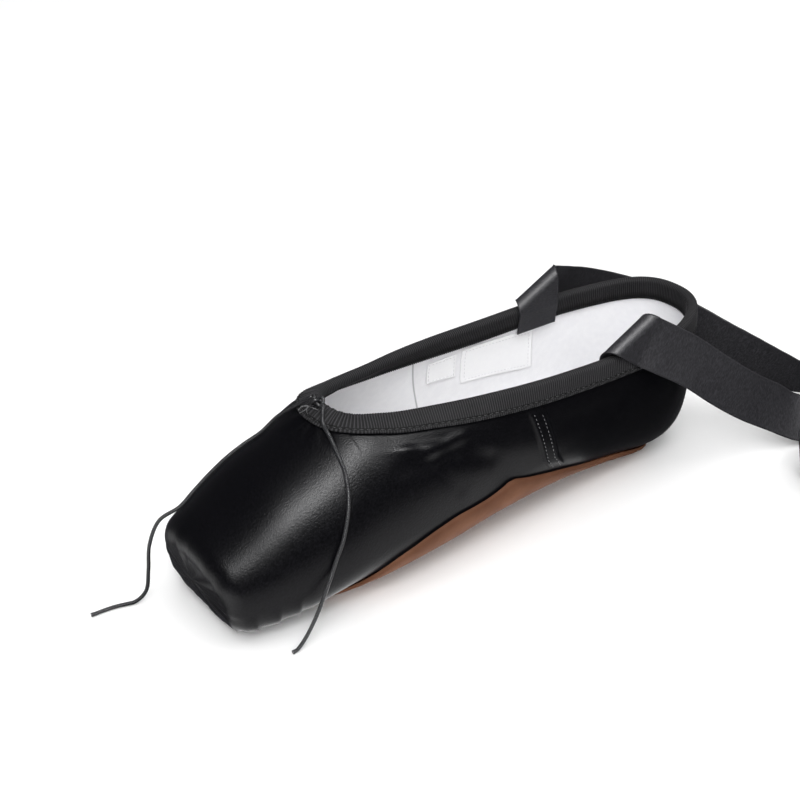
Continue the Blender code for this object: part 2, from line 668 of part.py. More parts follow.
def make_cord(name, side, rows, drop, finish):
    """One end of the drawstring as a round cord."""
    path = smooth_path(cord_route(side, rows, drop), CORD_POINTS)
    path[:, 2] = np.maximum(path[:, 2], CORD_DIAMETER / 2)
    curve = bpy.data.curves.new(name, "CURVE")
    curve.dimensions = "3D"
    curve.bevel_depth = CORD_DIAMETER / 2
    curve.bevel_resolution = 2
    curve.use_fill_caps = True
    line = curve.splines.new("POLY")
    line.points.add(len(path) - 1)
    line.points.foreach_set("co", np.column_stack([path, np.ones(len(path))]).ravel())
    curve.materials.append(finish)
    made = bpy.data.objects.new(name, curve)
    parts.objects.link(made)
    return made


def make_knot(finish):
    """The drawstring's knot, as the rounded lump that it fills."""
    bpy.ops.mesh.primitive_uv_sphere_add(segments=12, ring_count=8, radius=KNOT_SIZE / 2)
    made = bpy.context.active_object
    made.name = "drawstring_knot"
    for holder in list(made.users_collection):
        holder.objects.unlink(made)
    parts.objects.link(made)
    made.location = knot_center()
    made.scale = KNOT_SHARES
    made.data.shade_smooth()
    made.data.materials.append(finish)
    return made


def rolled(start, along_roll, past_roll, slope):
    """A flat ribbon rolled half a turn over a sloping line. along_roll and past_roll are distances along that
    line and past it. Before the line the ribbon rises in its first plane, on the roll it turns outward, and
    past half a turn it comes down again two radii further out."""
    turn = np.clip(past_roll / RIBBON_ROLL, 0, np.pi)
    back_down = np.maximum(past_roll - np.pi * RIBBON_ROLL, 0)
    rise = np.minimum(past_roll, 0) + RIBBON_ROLL * np.sin(turn) - back_down
    out = RIBBON_ROLL * (1 - np.cos(turn))
    y = along_roll * np.cos(slope) - rise * np.sin(slope)
    z = along_roll * np.sin(slope) + rise * np.cos(slope)
    return start + np.stack([out, y, z], axis=-1)


def ribbon_points(side, sewn_at, rows, sewn_rows, fold_rows, free_rows, columns):
    """Rows of points across a ribbon: its sewn end inside the collar, its roll over the collar, and its free
    length along a smooth path through the table's rows."""
    across = np.linspace(-0.5, 0.5, columns) * RIBBON_WIDTH
    slope = np.radians(RIBBON_FOLD_SLOPE)
    along = along_at(np.array(sewn_at))
    high = collar_angle(along)
    inside = wall(along) + SEAT_GAP + BINDING_THICKNESS + 3 * GAP + RIBBON_THICKNESS
    rim = last(along, high) - inside * outward(along, high)
    middle = rim + [0, 0, RIBBON_FOLD_RISE]
    reach = np.linspace(RIBBON_SEWN_DEPTH, 0, sewn_rows)
    a, g = shift_on_last(along, high, np.array([0, 0, -1.0]), reach)
    sewn = last(a, g) - inside * outward(a, g)
    sewn = sewn[:, None, :] + across[None, :, None] * np.array([0, 1, 0])
    below = RIBBON_FOLD_RISE - GAP
    beyond = (np.pi * RIBBON_ROLL + RIBBON_WIDTH / 2 * np.sin(slope)) / np.cos(slope) + GAP
    up = np.linspace(-below, beyond, fold_rows)[:, None]
    over = up * np.sin(slope) + across * np.cos(slope)
    past = up * np.cos(slope) - across * np.sin(slope)
    fold = rolled(middle, over, past, slope)
    start = fold[-1].mean(axis=0)
    first = [*start, *(fold[-1, -1] - fold[-1, 0]) / RIBBON_WIDTH]
    before = fold[-3:-1].mean(axis=1)
    run_up = [[*point, *first[3:]] for point in before]
    table = np.array([[getattr(row, field) for field in row._fields] for row in rows], float)
    table = table * [side * LENGTH, LENGTH, LENGTH, side, 1, 1]
    path = smooth_path(np.concatenate([run_up, [first], table]), 20 * free_rows)
    skip = np.argmin(np.linalg.norm(path[:, :3] - start, axis=1))
    path = path[np.linspace(skip, len(path) - 1, free_rows + 1).astype(int)[1:]]
    run = np.gradient(np.concatenate([[start], path[:, :3]]), axis=0)[1:]
    run = run / np.linalg.norm(run, axis=1, keepdims=True)
    wide = path[:, 3:] - np.sum(path[:, 3:] * run, axis=1, keepdims=True) * run
    wide = wide / np.linalg.norm(wide, axis=1, keepdims=True)
    free = path[:, None, :3] + across[None, :, None] * wide[:, None, :]
    points = np.concatenate([sewn, fold, free])
    points[..., 2] = np.maximum(points[..., 2], RIBBON_THICKNESS / 2 + GAP)
    return points * [side, 1, 1]


def make_ribbon(name, side, sewn_at, rows, finish):
    """One ankle ribbon: sewn inside the collar, folded out over it, and fallen back to the floor."""
    points = ribbon_points(side, sewn_at, rows, SEWN_ROWS, RIBBON_FOLD_ROWS, RIBBON_FREE_ROWS, RIBBON_COLUMNS)
    made = loft(name, points, finish)
    solidify(made, RIBBON_THICKNESS, 0)
    return made


for old in list(bpy.data.objects):
    bpy.data.objects.remove(old, do_unlink=True)
parts = collection("pointe_shoe")
cutters = collection("cutters")
satin = material("black_satin", (0.012, 0.012, 0.015), 0.35)
tape = material("charcoal_tape", (0.02, 0.02, 0.022), 0.7)
ribbon = material("charcoal_ribbon", (0.022, 0.021, 0.025), 0.45)
leather = material("brown_leather", (0.24, 0.12, 0.07), 0.6)
board = material("white_insole", (0.75, 0.75, 0.77), 0.8)
cloth = material("white_label", (0.85, 0.85, 0.88), 0.7)
string = material("black_cord", (0.02, 0.02, 0.02), 0.6)

make_upper(satin)
make_outsole(leather, cutters)
make_insole(board)
make_binding(tape)
for label in LABELS:
    make_label(label, cloth)
make_knot(string)
make_cord("drawstring_end_left", 1, CORD_LEFT, DROP_LEFT, string)
make_cord("drawstring_end_right", -1, CORD_RIGHT, DROP_RIGHT, string)
make_ribbon("ribbon_left", 1, RIBBON_SEWN_LEFT, RIBBON_LEFT, ribbon)
make_ribbon("ribbon_right", -1, RIBBON_SEWN_RIGHT, RIBBON_RIGHT, ribbon)
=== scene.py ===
"""Looks of the black satin pointe shoe (ballet shoe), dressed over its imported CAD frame.

Metres, in the frame of the CAD part: +Z up, the toe platform along -Y, the heel along +Y, the wearer's
left +X, and the origin on the floor under the ball of the foot. Every surface is read from the same last
as the solids: one function of how far along the shoe and how far round its section.
"""

import bmesh
import bpy
import numpy as np
from mathutils import Matrix


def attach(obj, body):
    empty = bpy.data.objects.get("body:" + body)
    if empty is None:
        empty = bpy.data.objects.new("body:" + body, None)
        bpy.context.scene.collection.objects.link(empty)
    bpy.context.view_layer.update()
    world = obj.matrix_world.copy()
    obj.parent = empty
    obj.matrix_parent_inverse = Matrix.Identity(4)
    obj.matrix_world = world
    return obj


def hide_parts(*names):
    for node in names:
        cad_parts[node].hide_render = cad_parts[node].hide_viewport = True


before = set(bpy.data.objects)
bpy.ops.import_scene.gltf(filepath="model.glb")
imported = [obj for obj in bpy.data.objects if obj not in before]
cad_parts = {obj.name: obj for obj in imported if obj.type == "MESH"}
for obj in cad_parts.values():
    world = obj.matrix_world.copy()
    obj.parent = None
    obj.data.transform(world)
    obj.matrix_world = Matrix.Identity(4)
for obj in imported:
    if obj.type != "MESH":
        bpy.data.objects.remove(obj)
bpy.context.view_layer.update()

# Driving sizes of the last
LENGTH = 0.240  # toe platform to the back of the heel
BALL_PLACE = LENGTH / 4  # platform to the origin, under the ball of the foot
BALL_WIDTH = 0.072
INSTEP_HEIGHT = 0.064  # floor to the top of the vamp just in front of the throat
PLATFORM_EDGE = 0.006  # radius where the flat platform turns into the sides
PLATFORM_LEAN = 0.005  # how far the foot of the platform is tucked back
PLATFORM_CROWN = 0.001
HEEL_ROUND = 0.045  # length of the rounded heel end
HEEL_TUCK = 0.012  # how far the foot of the heel is tucked forward
VAMP_LENGTH = 0.060  # platform to throat
COLLAR_HEIGHT = INSTEP_HEIGHT
ARCH_RISE = 0.006

# Walls and soles
WALL_BOX = 0.0026  # glued layers of the toe box
WALL_QUARTER = 0.0014  # satin, canvas and lining at the heel
GAP = 0.0003  # clearance between neighbouring pieces
SEAT_GAP = 0.00068  # clearance of curved pieces laid on each other, whose flat facets cut their curves
SOLE_WIDTH = BALL_WIDTH - 0.004
SOLE_FRONT = 0.031  # platform to the tip of the outsole
SOLE_BACK = 0.016  # end of the outsole to the back of the heel
SOLE_THICKNESS = 0.0028
SOLE_EDGE = 0.0011
SOLE_FLAT = 0.0007  # depth worn flat where the sole meets the floor
SOLE_TUCK = 0.005  # how far the upper runs in under the outsole
INSOLE_THICKNESS = 0.0022
INSOLE_WIDTH = BALL_WIDTH - 0.016
INSOLE_MARGIN = 0.012  # platform or heel to the end of the insole

# Binding, seams and labels
BINDING_DEPTH = 0.0072
BINDING_THICKNESS = 0.0008
CHANNEL = 0.0010  # room in the fold for the drawstring
SEAM_PLACE = 0.139  # platform to the front ridge of the side seam, at mid height
SEAM_WIDTH = 0.0075
SEAM_SLANT = 0.021  # how far the seam leans forward from the sole to the collar
SEAM_RISE = 0.0006
SEAM_RAMP = 0.0012
SEAM_FADE = 0.003  # height over which it goes flat at the outsole and the binding
SEAM_REACH = 0.030  # how far from the seam the grid bends to follow its slant
LABEL_THICKNESS = 0.0004

# Drawstring
CORD_DIAMETER = 0.0014
KNOT_SIZE = 0.0060
KNOT_DEPTH = 0.0007  # collar line to the knot's middle
KNOT_REST = 0.42  # the knot's middle above the binding, as a share of its size

# Ribbons
RIBBON_WIDTH = 0.021
RIBBON_THICKNESS = 0.0005

# Sections of the last: place as a share of LENGTH from the platform, width as a share of BALL_WIDTH,
# heights of the widest point and the top as shares of INSTEP_HEIGHT, rise of the bottom as a share of
# ARCH_RISE, and squareness below and above the widest point.
SECTIONS = np.array([
    (0, 0.71, 0.23, 0.49, -0.25, 3.8, 2.5), (0.05, 0.83, 0.26, 0.6, -0.3, 3.6, 2.4),
    (0.12, 0.93, 0.3, 0.78, -0.15, 3.1, 2.3), (0.2, 0.99, 0.34, 0.925, 0, 2.4, 2.2),
    (0.25, 1, 0.37, 1.035, 0, 2.25, 2.2), (0.31, 1, 0.4, 1.062, 0, 2.15, 2.2),
    (0.4, 0.97, 0.43, 1.1, 0.15, 2.1, 2.2), (0.5, 0.92, 0.45, 1.22, 0.7, 2.15, 2.2),
    (0.62, 0.89, 0.47, 1.41, 1, 2.3, 2.2), (0.75, 0.88, 0.49, 1.54, 0.7, 2.6, 2.3),
    (0.87, 0.84, 0.51, 1.65, 0.05, 3, 2.4), (1, 0.81, 0.53, 1.71, 0, 3, 2.4),
]).T
HEEL_ROUNDNESS = 2.4

# The collar line: share of its length from the throat to the heel, and height as a share of COLLAR_HEIGHT.
COLLAR = np.array([
    (0, 1.035), (0.06, 1.015), (0.14, 0.995), (0.3, 0.975), (0.5, 0.952), (0.7, 0.948), (0.87, 0.952),
    (1, 1),
]).T

# The outsole's outline: share of its length, and width as a share of SOLE_WIDTH.
SOLE = np.array([
    (0, 0), (0.06, 0.7), (0.16, 0.99), (0.23, 1.035), (0.31, 1.03), (0.41, 0.99), (0.5, 0.96), (0.6, 0.9),
    (0.72, 0.795), (0.84, 0.71), (0.93, 0.54), (0.97, 0.37), (1, 0),
]).T

# The labels: node, front and back as shares of LENGTH from the platform, section angles of the lower and
# upper corner of the front edge in degrees, and how many degrees lower the back edge sits.
LABELS = [("label_small", 0.5333, 0.5938, 12.5, 23.5, 3), ("label_large", 0.6062, 0.7688, 5, 21, 6)]

# The drawstring ends on the shoe: share of LENGTH from the platform, section angle in degrees, and 1 where
# the cord lies on the binding, 0 where it lies on the satin.
CORD_LEFT = np.array([
    (0.2321, 77.5, 1), (0.2278, 69, 1), (0.2227, 58.5, 0), (0.2188, 48.8, 0), (0.2104, 38.8, 0),
    (0.2008, 31.2, 0), (0.1842, 20.5, 0), (0.169, 12.5, 0), (0.16, 6, 0),
]).T
CORD_RIGHT = np.array([
    (0.2313, 76, 1), (0.2083, 69, 1), (0.1792, 64, 0), (0.15, 60, 0), (0.1208, 57, 0), (0.0917, 54, 0),
    (0.0625, 52, 0), (0.0375, 51, 0),
]).T

# Points where each drawstring end hangs clear of the satin and comes to lie on the floor, in shares of
# LENGTH.
DROP_LEFT = np.array([
    (0.155, -0.106, 0.079), (0.1585, -0.1265, 0.045), (0.161, -0.147, 0.018), (0.164, -0.165, 0.004),
    (0.1655, -0.175, 0.0029),
])
DROP_RIGHT = np.array([
    (-0.0833, -0.2479, 0.1292), (-0.0813, -0.2688, 0.0958), (-0.0792, -0.2771, 0.0542),
    (-0.0792, -0.2854, 0.0187), (-0.0833, -0.3062, 0.0029), (-0.0917, -0.3375, 0.0029),
    (-0.0938, -0.3708, 0.0029),
])

# The ribbons past their fold: middle of the ribbon in shares of LENGTH, and direction from its lower to its
# upper edge.
RIBBON_LEFT = np.array([
    (0.145, 0.581, 0.251, -0.1, 0.57, 0.81), (0.1583, 0.6333, 0.2167, -0.25, 0.25, 0.93),
    (0.1708, 0.6958, 0.1667, -0.22, 0.25, 0.93), (0.1833, 0.7583, 0.1208, -0.22, 0.3, 0.92),
    (0.1917, 0.825, 0.0792, -0.3, 0.35, 0.88), (0.2083, 0.8875, 0.0417, -0.5, 0.4, 0.76),
    (0.25, 0.95, 0.0354, -0.4, 0.45, 0.72), (0.3083, 0.9833, 0.0396, -0.05, 0.4, 0.88),
    (0.3708, 0.9708, 0.0438, 0.15, 0.2, 0.97), (0.4083, 0.925, 0.0438, 0.25, 0.1, 0.97),
    (0.4208, 0.8667, 0.0438, 0.2, -0.05, 0.97), (0.4083, 0.8042, 0.0438, 0.1, -0.15, 0.97),
    (0.3625, 0.7625, 0.0438, 0, -0.2, 0.97), (0.3083, 0.7708, 0.0438, -0.1, -0.15, 0.97),
    (0.2833, 0.8167, 0.0438, -0.2, 0, 0.97), (0.3083, 0.8625, 0.0438, -0.1, 0.15, 0.97),
    (0.3583, 0.8667, 0.0438, 0.05, 0.15, 0.97),
])
RIBBON_RIGHT = np.array([
    (-0.1458, 0.6, 0.255, 0.1, 0.52, 0.85), (-0.1542, 0.6625, 0.2333, 0.2, 0.3, 0.93),
    (-0.1417, 0.7292, 0.2083, 0.2, 0.2, 0.95), (-0.1, 0.7917, 0.1833, 0.15, 0.15, 0.96),
    (-0.0375, 0.8375, 0.1542, 0.1, 0.05, 0.98), (0.0208, 0.8875, 0.1167, 0.1, -0.05, 0.98),
    (0.0667, 0.95, 0.075, 0.15, -0.2, 0.95), (0.1125, 1.0125, 0.0417, 0.2, -0.35, 0.85),
    (0.1667, 1.0708, 0.0396, 0.1, -0.3, 0.88), (0.2292, 1.1042, 0.0417, 0.05, -0.15, 0.94),
    (0.3, 1.1083, 0.0438, 0.05, 0.1, 0.97), (0.3625, 1.1375, 0.0438, 0.15, -0.1, 0.97),
    (0.3875, 1.1958, 0.0438, 0.2, 0.05, 0.97), (0.3583, 1.25, 0.0438, 0.05, 0.2, 0.97),
    (0.2958, 1.2625, 0.0438, -0.1, 0.15, 0.97), (0.2417, 1.2292, 0.0438, -0.15, 0.05, 0.97),
    (0.1833, 1.2125, 0.0438, -0.05, -0.1, 0.97),
])
RIBBON_SEWN_LEFT = 0.761 * LENGTH  # platform to the middle of the ribbon where it is sewn in
RIBBON_SEWN_RIGHT = 0.767 * LENGTH
RIBBON_SEWN_DEPTH = 0.0095  # collar line to the sewn end
RIBBON_FOLD_RISE = 0.0058  # collar line to the middle of the fold
RIBBON_FOLD_SLOPE = 27  # slope of the fold line, in degrees, rising towards the heel
RIBBON_ROLL = 0.0034  # radius at which the ribbon rolls over the collar

OPENING_STEPS = np.array([0.0, 0.0003, 0.0010, 0.0025, 0.0055])  # rows behind where an edge opens


def unit(vectors):
    """Vectors scaled to length 1."""
    return vectors / np.maximum(np.linalg.norm(vectors, axis=-1, keepdims=True), 1e-12)


def run_of(path):
    """Distance from the start to each point of a path."""
    return np.concatenate([[0], np.cumsum(np.linalg.norm(np.diff(path, axis=0), axis=1))])


def read_along(at, run, values):
    """Points or vectors of a path, whose corners lie at the distances in run, read at other distances."""
    return np.stack([np.interp(at, run, values[:, k]) for k in range(values.shape[1])], axis=-1)


def eased(at, values, x):
    """A smooth cubic through the points (at, values), read at x."""
    steps = np.diff(values) / np.diff(at)
    slopes = np.concatenate([steps[:1], (steps[1:] + steps[:-1]) / 2, steps[-1:]])
    i = np.clip(np.searchsorted(at, x, side="right") - 1, 0, len(at) - 2)
    span = at[i + 1] - at[i]
    t = np.clip((x - at[i]) / span, 0, 1)
    start = values[i] * (1 + 2 * t) * (1 - t) ** 2 + slopes[i] * span * t * (1 - t) ** 2
    end = values[i + 1] * t * t * (3 - 2 * t) + slopes[i + 1] * span * t * t * (t - 1)
    return start + end


def ring(angle, squareness):
    """A superellipse of half-widths 1 and 1, read at an angle: its two coordinates."""
    c, s = np.cos(angle), np.sin(angle)
    reach = (np.abs(c) ** squareness + np.abs(s) ** squareness) ** (1 / squareness)
    return c / reach, s / reach


def ring_angle(rise, squareness):
    """The angle at which a unit superellipse has risen this far."""
    rise = np.clip(rise, 0, 1)
    return np.arctan2(rise, np.maximum(1 - rise**squareness, 0) ** (1 / squareness))


def station(along):
    """Where a station is. along runs from -2 at the platform's centre to -1 at its rim, 0 behind its rounded
    edge, 1 where the heel starts to round and 2 at the back of the heel. It gives the distance from the
    platform, the heel's taper, the inset of the rounded edge and the share of the flat platform."""
    along = np.asarray(along, float)
    turn = np.clip(-along, 0, 1) * np.pi / 2
    back = np.clip(along - 1, 0, 1) * np.pi / 2
    taper, reach = ring(back, HEEL_ROUNDNESS)
    straight = LENGTH - HEEL_ROUND - PLATFORM_EDGE
    place = PLATFORM_EDGE * (1 - np.sin(turn)) + straight * np.clip(along, 0, 1) + HEEL_ROUND * reach
    inset = PLATFORM_EDGE * (1 - np.cos(turn))
    flat = np.clip(along + 2, 0, 1)
    return place, taper, inset, flat


def along_at(place):
    """The station at this distance from the platform, behind the platform's rounded edge."""
    straight = LENGTH - HEEL_ROUND - PLATFORM_EDGE
    share = (place - PLATFORM_EDGE) / straight
    back = ring_angle((place - LENGTH + HEEL_ROUND) / HEEL_ROUND, HEEL_ROUNDNESS) / (np.pi / 2)
    return np.where(share < 1, share, 1 + back)


def section_sizes(place):
    """Half-width, heights of widest point, top and bottom, and both squarenesses of the section there."""
    at = SECTIONS[0] * LENGTH
    width, widest, top, lift, low, high = (eased(at, values, place) for values in SECTIONS[1:])
    bottom = SOLE_THICKNESS + SEAT_GAP - SOLE_FLAT + lift * ARCH_RISE
    return width * BALL_WIDTH / 2, widest * INSTEP_HEIGHT, top * INSTEP_HEIGHT, bottom, low, high


def last(along, angle):
    """A point on the outside of the upper, on the +X half. angle is -90 degrees at the bottom's centre
    line, 0 at the widest point and 90 at the top's centre line."""
    along, angle = np.broadcast_arrays(np.asarray(along, float), np.asarray(angle, float))
    place, taper, inset, flat = station(along)
    half, widest, top, bottom, low, high = section_sizes(place)
    squareness = np.where(angle > 0, high, low)
    across, rise = ring(angle, squareness)
    reach = np.where(angle > 0, top - inset - widest, widest - bottom - inset)
    middle = (top + bottom) / 2
    x = (half * taper - inset) * across * flat
    z = middle + (widest + reach * rise - middle) * flat
    heel_share = np.clip(1 - (LENGTH - place) / HEEL_ROUND, 0, 1) ** 2
    below = np.clip((widest - z) / (widest - bottom), 0, 1)
    tucked = HEEL_TUCK * (1 - np.sqrt(1 - below**2))
    toe_share = np.clip(1 - place / VAMP_LENGTH, 0, 1) ** 3
    leaned = PLATFORM_LEAN * (1 - z / top)
    crown = PLATFORM_CROWN * (1 - flat**2)
    y = place - BALL_PLACE - heel_share * tucked + toe_share * leaned - crown
    return np.stack([x, y, z], axis=-1)


def tangents(along, angle, step=1e-4):
    """How the last's point moves along the shoe and round its section."""
    lengthwise = (last(along + step, angle) - last(along - step, angle)) / (2 * step)
    around = (last(along, angle + step) - last(along, angle - step)) / (2 * step)
    return lengthwise, around


def outward(along, angle):
    """The last's unit normal, pointing out of the shoe."""
    along = np.clip(along, -1.999, 1.999)
    angle = np.clip(angle, -np.pi / 2 + 1e-3, np.pi / 2 - 1e-3)
    lengthwise, around = tangents(along, angle)
    return unit(np.cross(lengthwise, around))


def collar_angle(along):
    """The section angle at which the upper ends at the collar, or 90 degrees in front of the throat."""
    place = station(along)[0]
    half, widest, top, bottom, low, high = section_sizes(place)
    share = (place - VAMP_LENGTH) / (LENGTH - VAMP_LENGTH)
    height = eased(*COLLAR, share) * COLLAR_HEIGHT
    return np.where(share <= 0, np.pi / 2, ring_angle((height - widest) / (top - widest), high))


def edge_angle(along, front, back, width):
    """The section angle at the edge of a sole-shaped outline from front to back, or -90 degrees outside
    it."""
    place, taper = station(along)[:2]
    at = front + SOLE[0] * (back - front)
    half, widest, top, bottom, low, high = section_sizes(place)
    reach = np.sqrt(np.maximum(eased(at, (SOLE[1] * width / 2) ** 2, place), 0))
    inside = (place > front) & (place < back)
    out = np.where(inside, np.clip(reach / np.maximum(half * taper, 1e-6), 0, 0.9999), 0)
    return -ring_angle((1 - out**low) ** (1 / low), low)


def sole_angle(along):
    """The section angle at the outsole's edge."""
    return edge_angle(along, SOLE_FRONT, LENGTH - SOLE_BACK, SOLE_WIDTH)


def opening_angle(along):
    """The section angle where the upper ends underneath, tucked in under the insole."""
    back = LENGTH - SOLE_BACK - SOLE_TUCK
    return edge_angle(along, SOLE_FRONT + SOLE_TUCK, back, SOLE_WIDTH - 2 * SOLE_TUCK)


def seam_relief(along, angle, share, lip=0.0):
    """Height of the lapped side seam above the satin. share runs from 0 at the sole to 1 at the collar.
    The seam goes flat before it runs in under the outsole and the binding. lip is the height of its
    rolled front edge."""
    behind = station(along)[0] - SEAM_PLACE - SEAM_SLANT * (0.5 - share)
    ramp_up = np.clip(behind / SEAM_RAMP + 0.5, 0, 1)
    ramp_down = np.clip((SEAM_WIDTH - behind) / SEAM_RAMP + 0.5, 0, 1)
    height = last(along, angle)[..., 2]
    above_sole = np.clip((height - last(along, sole_angle(along))[..., 2]) / SEAM_FADE - 0.5, 0, 1)
    below_tape = last(along, collar_angle(along))[..., 2] - BINDING_DEPTH - height
    band = SEAM_RISE * np.minimum(ramp_up, ramp_down) + lip * falling(behind - SEAM_RAMP / 3, SEAM_RAMP / 3)
    return band * above_sole * np.clip(below_tape / SEAM_FADE, 0, 1)


def wall(along):
    """Thickness of the upper, from the glued toe box to the soft quarter."""
    place = station(along)[0]
    ease = np.clip((place - VAMP_LENGTH / 2) / VAMP_LENGTH, 0, 1)
    return WALL_BOX + (WALL_QUARTER - WALL_BOX) * ease * ease * (3 - 2 * ease)


def slanted(along, share):
    """Stations bent near the side seam so that they run along its slant."""
    place = station(along)[0]
    near = np.clip(1 - np.abs(place - SEAM_PLACE - SEAM_WIDTH / 2) / SEAM_REACH, 0, 1)
    bent = place + SEAM_SLANT * (0.5 - share) * np.minimum(1, 2 * near)
    return np.where(near > 0, along_at(bent), along)


def shift_on_last(along, angle, direction, distance):
    """The station and angle reached by going this distance over the last in a 3-D direction."""
    lengthwise, around = tangents(along, angle)
    a = np.sum(lengthwise * lengthwise, -1)
    b = np.sum(lengthwise * around, -1)
    c = np.sum(around * around, -1)
    p = np.sum(lengthwise * direction, -1) * distance
    q = np.sum(around * direction, -1) * distance
    det = a * c - b * b
    return along + (c * p - b * q) / det, angle + (a * q - b * p) / det


def over_collar(along, angle, down, depth, lift):
    """Points at this depth below the collar line and this far out of the last. Above the line they go
    straight up against the down direction."""
    a, g = shift_on_last(along, angle, down, max(depth, 0) / 2)
    a, g = shift_on_last(a, g, down, max(depth, 0) / 2)
    return last(a, g) + np.asarray(lift)[..., None] * outward(a, g) - min(depth, 0) * -down


def smooth_path(points, count):
    """Points spaced evenly along a smooth curve through the given ones."""
    points = np.asarray(points, float)
    knots = np.arange(len(points), dtype=float)
    t = np.linspace(0, len(points) - 1, 40 * len(points))
    fine = np.stack([eased(knots, points[:, k], t) for k in range(points.shape[1])], axis=-1)
    run = run_of(fine[:, :3])
    return read_along(np.linspace(0, run[-1], count), run, fine)


def knot_center():
    """Middle of the knot, on the binding at the throat."""
    rest = SEAT_GAP + BINDING_THICKNESS + GAP
    along = along_at(np.array(VAMP_LENGTH - KNOT_DEPTH))
    base = last(along, np.pi / 2)
    return base + (rest + KNOT_SIZE * KNOT_REST) * outward(along, np.pi / 2)


def cord_route(side, rows, drop):
    """The centre line of one end of the drawstring, from the knot over the satin to the floor."""
    along = along_at(rows[0] * LENGTH)
    angle = np.radians(rows[1])
    lift = GAP + CORD_DIAMETER / 2 + rows[2] * (SEAT_GAP + BINDING_THICKNESS)
    over = (last(along, angle) + lift[:, None] * outward(along, angle)) * [side, 1, 1]
    start = knot_center() + np.array([side * (KNOT_SIZE + CORD_DIAMETER) / 2, 0, 0])
    return np.concatenate([[start], over, drop * LENGTH])


def rolled(start, along_roll, past_roll, slope):
    """A flat ribbon rolled half a turn over a sloping line. along_roll and past_roll are distances along
    that line and past it. Before the line the ribbon rises in its first plane, on the roll it turns
    outward, and past half a turn it comes down again two radii further out."""
    turn = np.clip(past_roll / RIBBON_ROLL, 0, np.pi)
    down = np.maximum(past_roll - np.pi * RIBBON_ROLL, 0)
    rise = np.minimum(past_roll, 0) + RIBBON_ROLL * np.sin(turn) - down
    out = RIBBON_ROLL * (1 - np.cos(turn))
    y = along_roll * np.cos(slope) - rise * np.sin(slope)
    z = along_roll * np.sin(slope) + rise * np.cos(slope)
    return start + np.stack([out, y, z], axis=-1)


def ribbon_points(side, sewn_at, rows, sewn_rows, fold_rows, free_rows, columns):
    """Rows of points across a ribbon: its sewn end inside the collar, its roll over the collar, and its free
    length along a smooth path through the table's rows."""
    across = np.linspace(-0.5, 0.5, columns) * RIBBON_WIDTH
    slope = np.radians(RIBBON_FOLD_SLOPE)
    along = along_at(np.array(sewn_at))
    high = collar_angle(along)
    inside = wall(along) + SEAT_GAP + BINDING_THICKNESS + 3 * GAP + RIBBON_THICKNESS
    rim = last(along, high) - inside * outward(along, high)
    middle = rim + [0, 0, RIBBON_FOLD_RISE]
    reach = np.linspace(RIBBON_SEWN_DEPTH, 0, sewn_rows)
    a, g = shift_on_last(along, high, np.array([0, 0, -1.0]), reach)
    sewn = last(a, g) - inside * outward(a, g)
    sewn = sewn[:, None, :] + across[None, :, None] * np.array([0, 1, 0])
    below = RIBBON_FOLD_RISE - GAP
    beyond = (np.pi * RIBBON_ROLL + RIBBON_WIDTH / 2 * np.sin(slope)) / np.cos(slope) + GAP
    up = np.linspace(-below, beyond, fold_rows)[:, None]
    over = up * np.sin(slope) + across * np.cos(slope)
    past = up * np.cos(slope) - across * np.sin(slope)
    fold = rolled(middle, over, past, slope)
    start = fold[-1].mean(axis=0)
    first = [*start, *(fold[-1, -1] - fold[-1, 0]) / RIBBON_WIDTH]
    before = fold[-3:-1].mean(axis=1)
    run_up = [[*point, *first[3:]] for point in before]
    table = rows * [side * LENGTH, LENGTH, LENGTH, side, 1, 1]
    path = smooth_path(np.concatenate([run_up, [first], table]), 20 * free_rows)
    skip = np.argmin(np.linalg.norm(path[:, :3] - start, axis=1))
    path = path[np.linspace(skip, len(path) - 1, free_rows + 1).astype(int)[1:]]
    run = unit(np.gradient(np.concatenate([[start], path[:, :3]]), axis=0)[1:])
    wide = unit(path[:, 3:] - np.sum(path[:, 3:] * run, axis=1, keepdims=True) * run)
    free = path[:, None, :3] + across[None, :, None] * wide[:, None, :]
    points = np.concatenate([sewn, fold, free])
    points[..., 2] = np.maximum(points[..., 2], RIBBON_THICKNESS / 2 + GAP)
    return points * [side, 1, 1]


# Camera and studio
CAMERA_AZIMUTH = 52.4  # degrees round from the toe towards the wearer's left
CAMERA_ELEVATION = 31.0
CAMERA_DISTANCE = 0.518
CAMERA_TARGET = np.array([0.0, 0.060, 0.030])
CAMERA_LENS = 58.545
CAMERA_SHIFT = (-0.0696, 0.052)
FLOOR_REACH = 4.0
FLOOR_HEIGHT = -0.0002
WORLD_LIGHT = 0.08
# Area lights: name, direction from the aim, distance, width, height, power in watts, aim, and what it
# lights. The two glow strips shine up from the floor.
LIGHTS = [
    ("near_box", (0.45, -0.12, 0.88), 1.1, 0.26, 0.9, 50, (0, 0.02, 0.03), "gloss"),
    ("toe_box", (0.30, -0.62, 0.72), 1.2, 0.36, 0.3, 6, (0, 0.02, 0.03), "gloss"),
    ("low_glow", (0, 0, -1), 0.0005, 0.13, 0.25, 0.22, (0.082, -0.01, 0.001), "gloss"),
    ("toe_glow", (0, 0, -1), 0.0005, 0.20, 0.16, 0.26, (0.0, -0.16, 0.001), "gloss"),
    ("fold_box", (0.55, 0.30, 0.75), 1.2, 0.5, 0.5, 7, (0.04, 0.13, 0.06), "gloss"),
    ("floor_fill", (-0.10, 0.15, 1), 3.0, 5.5, 5.5, 165, (0, 0.4, 0), "matte"),
    ("lining_key", (0.62, -0.48, 0.62), 1.6, 1.2, 1.2, 24, (0, 0.02, 0.03), "matte"),
]

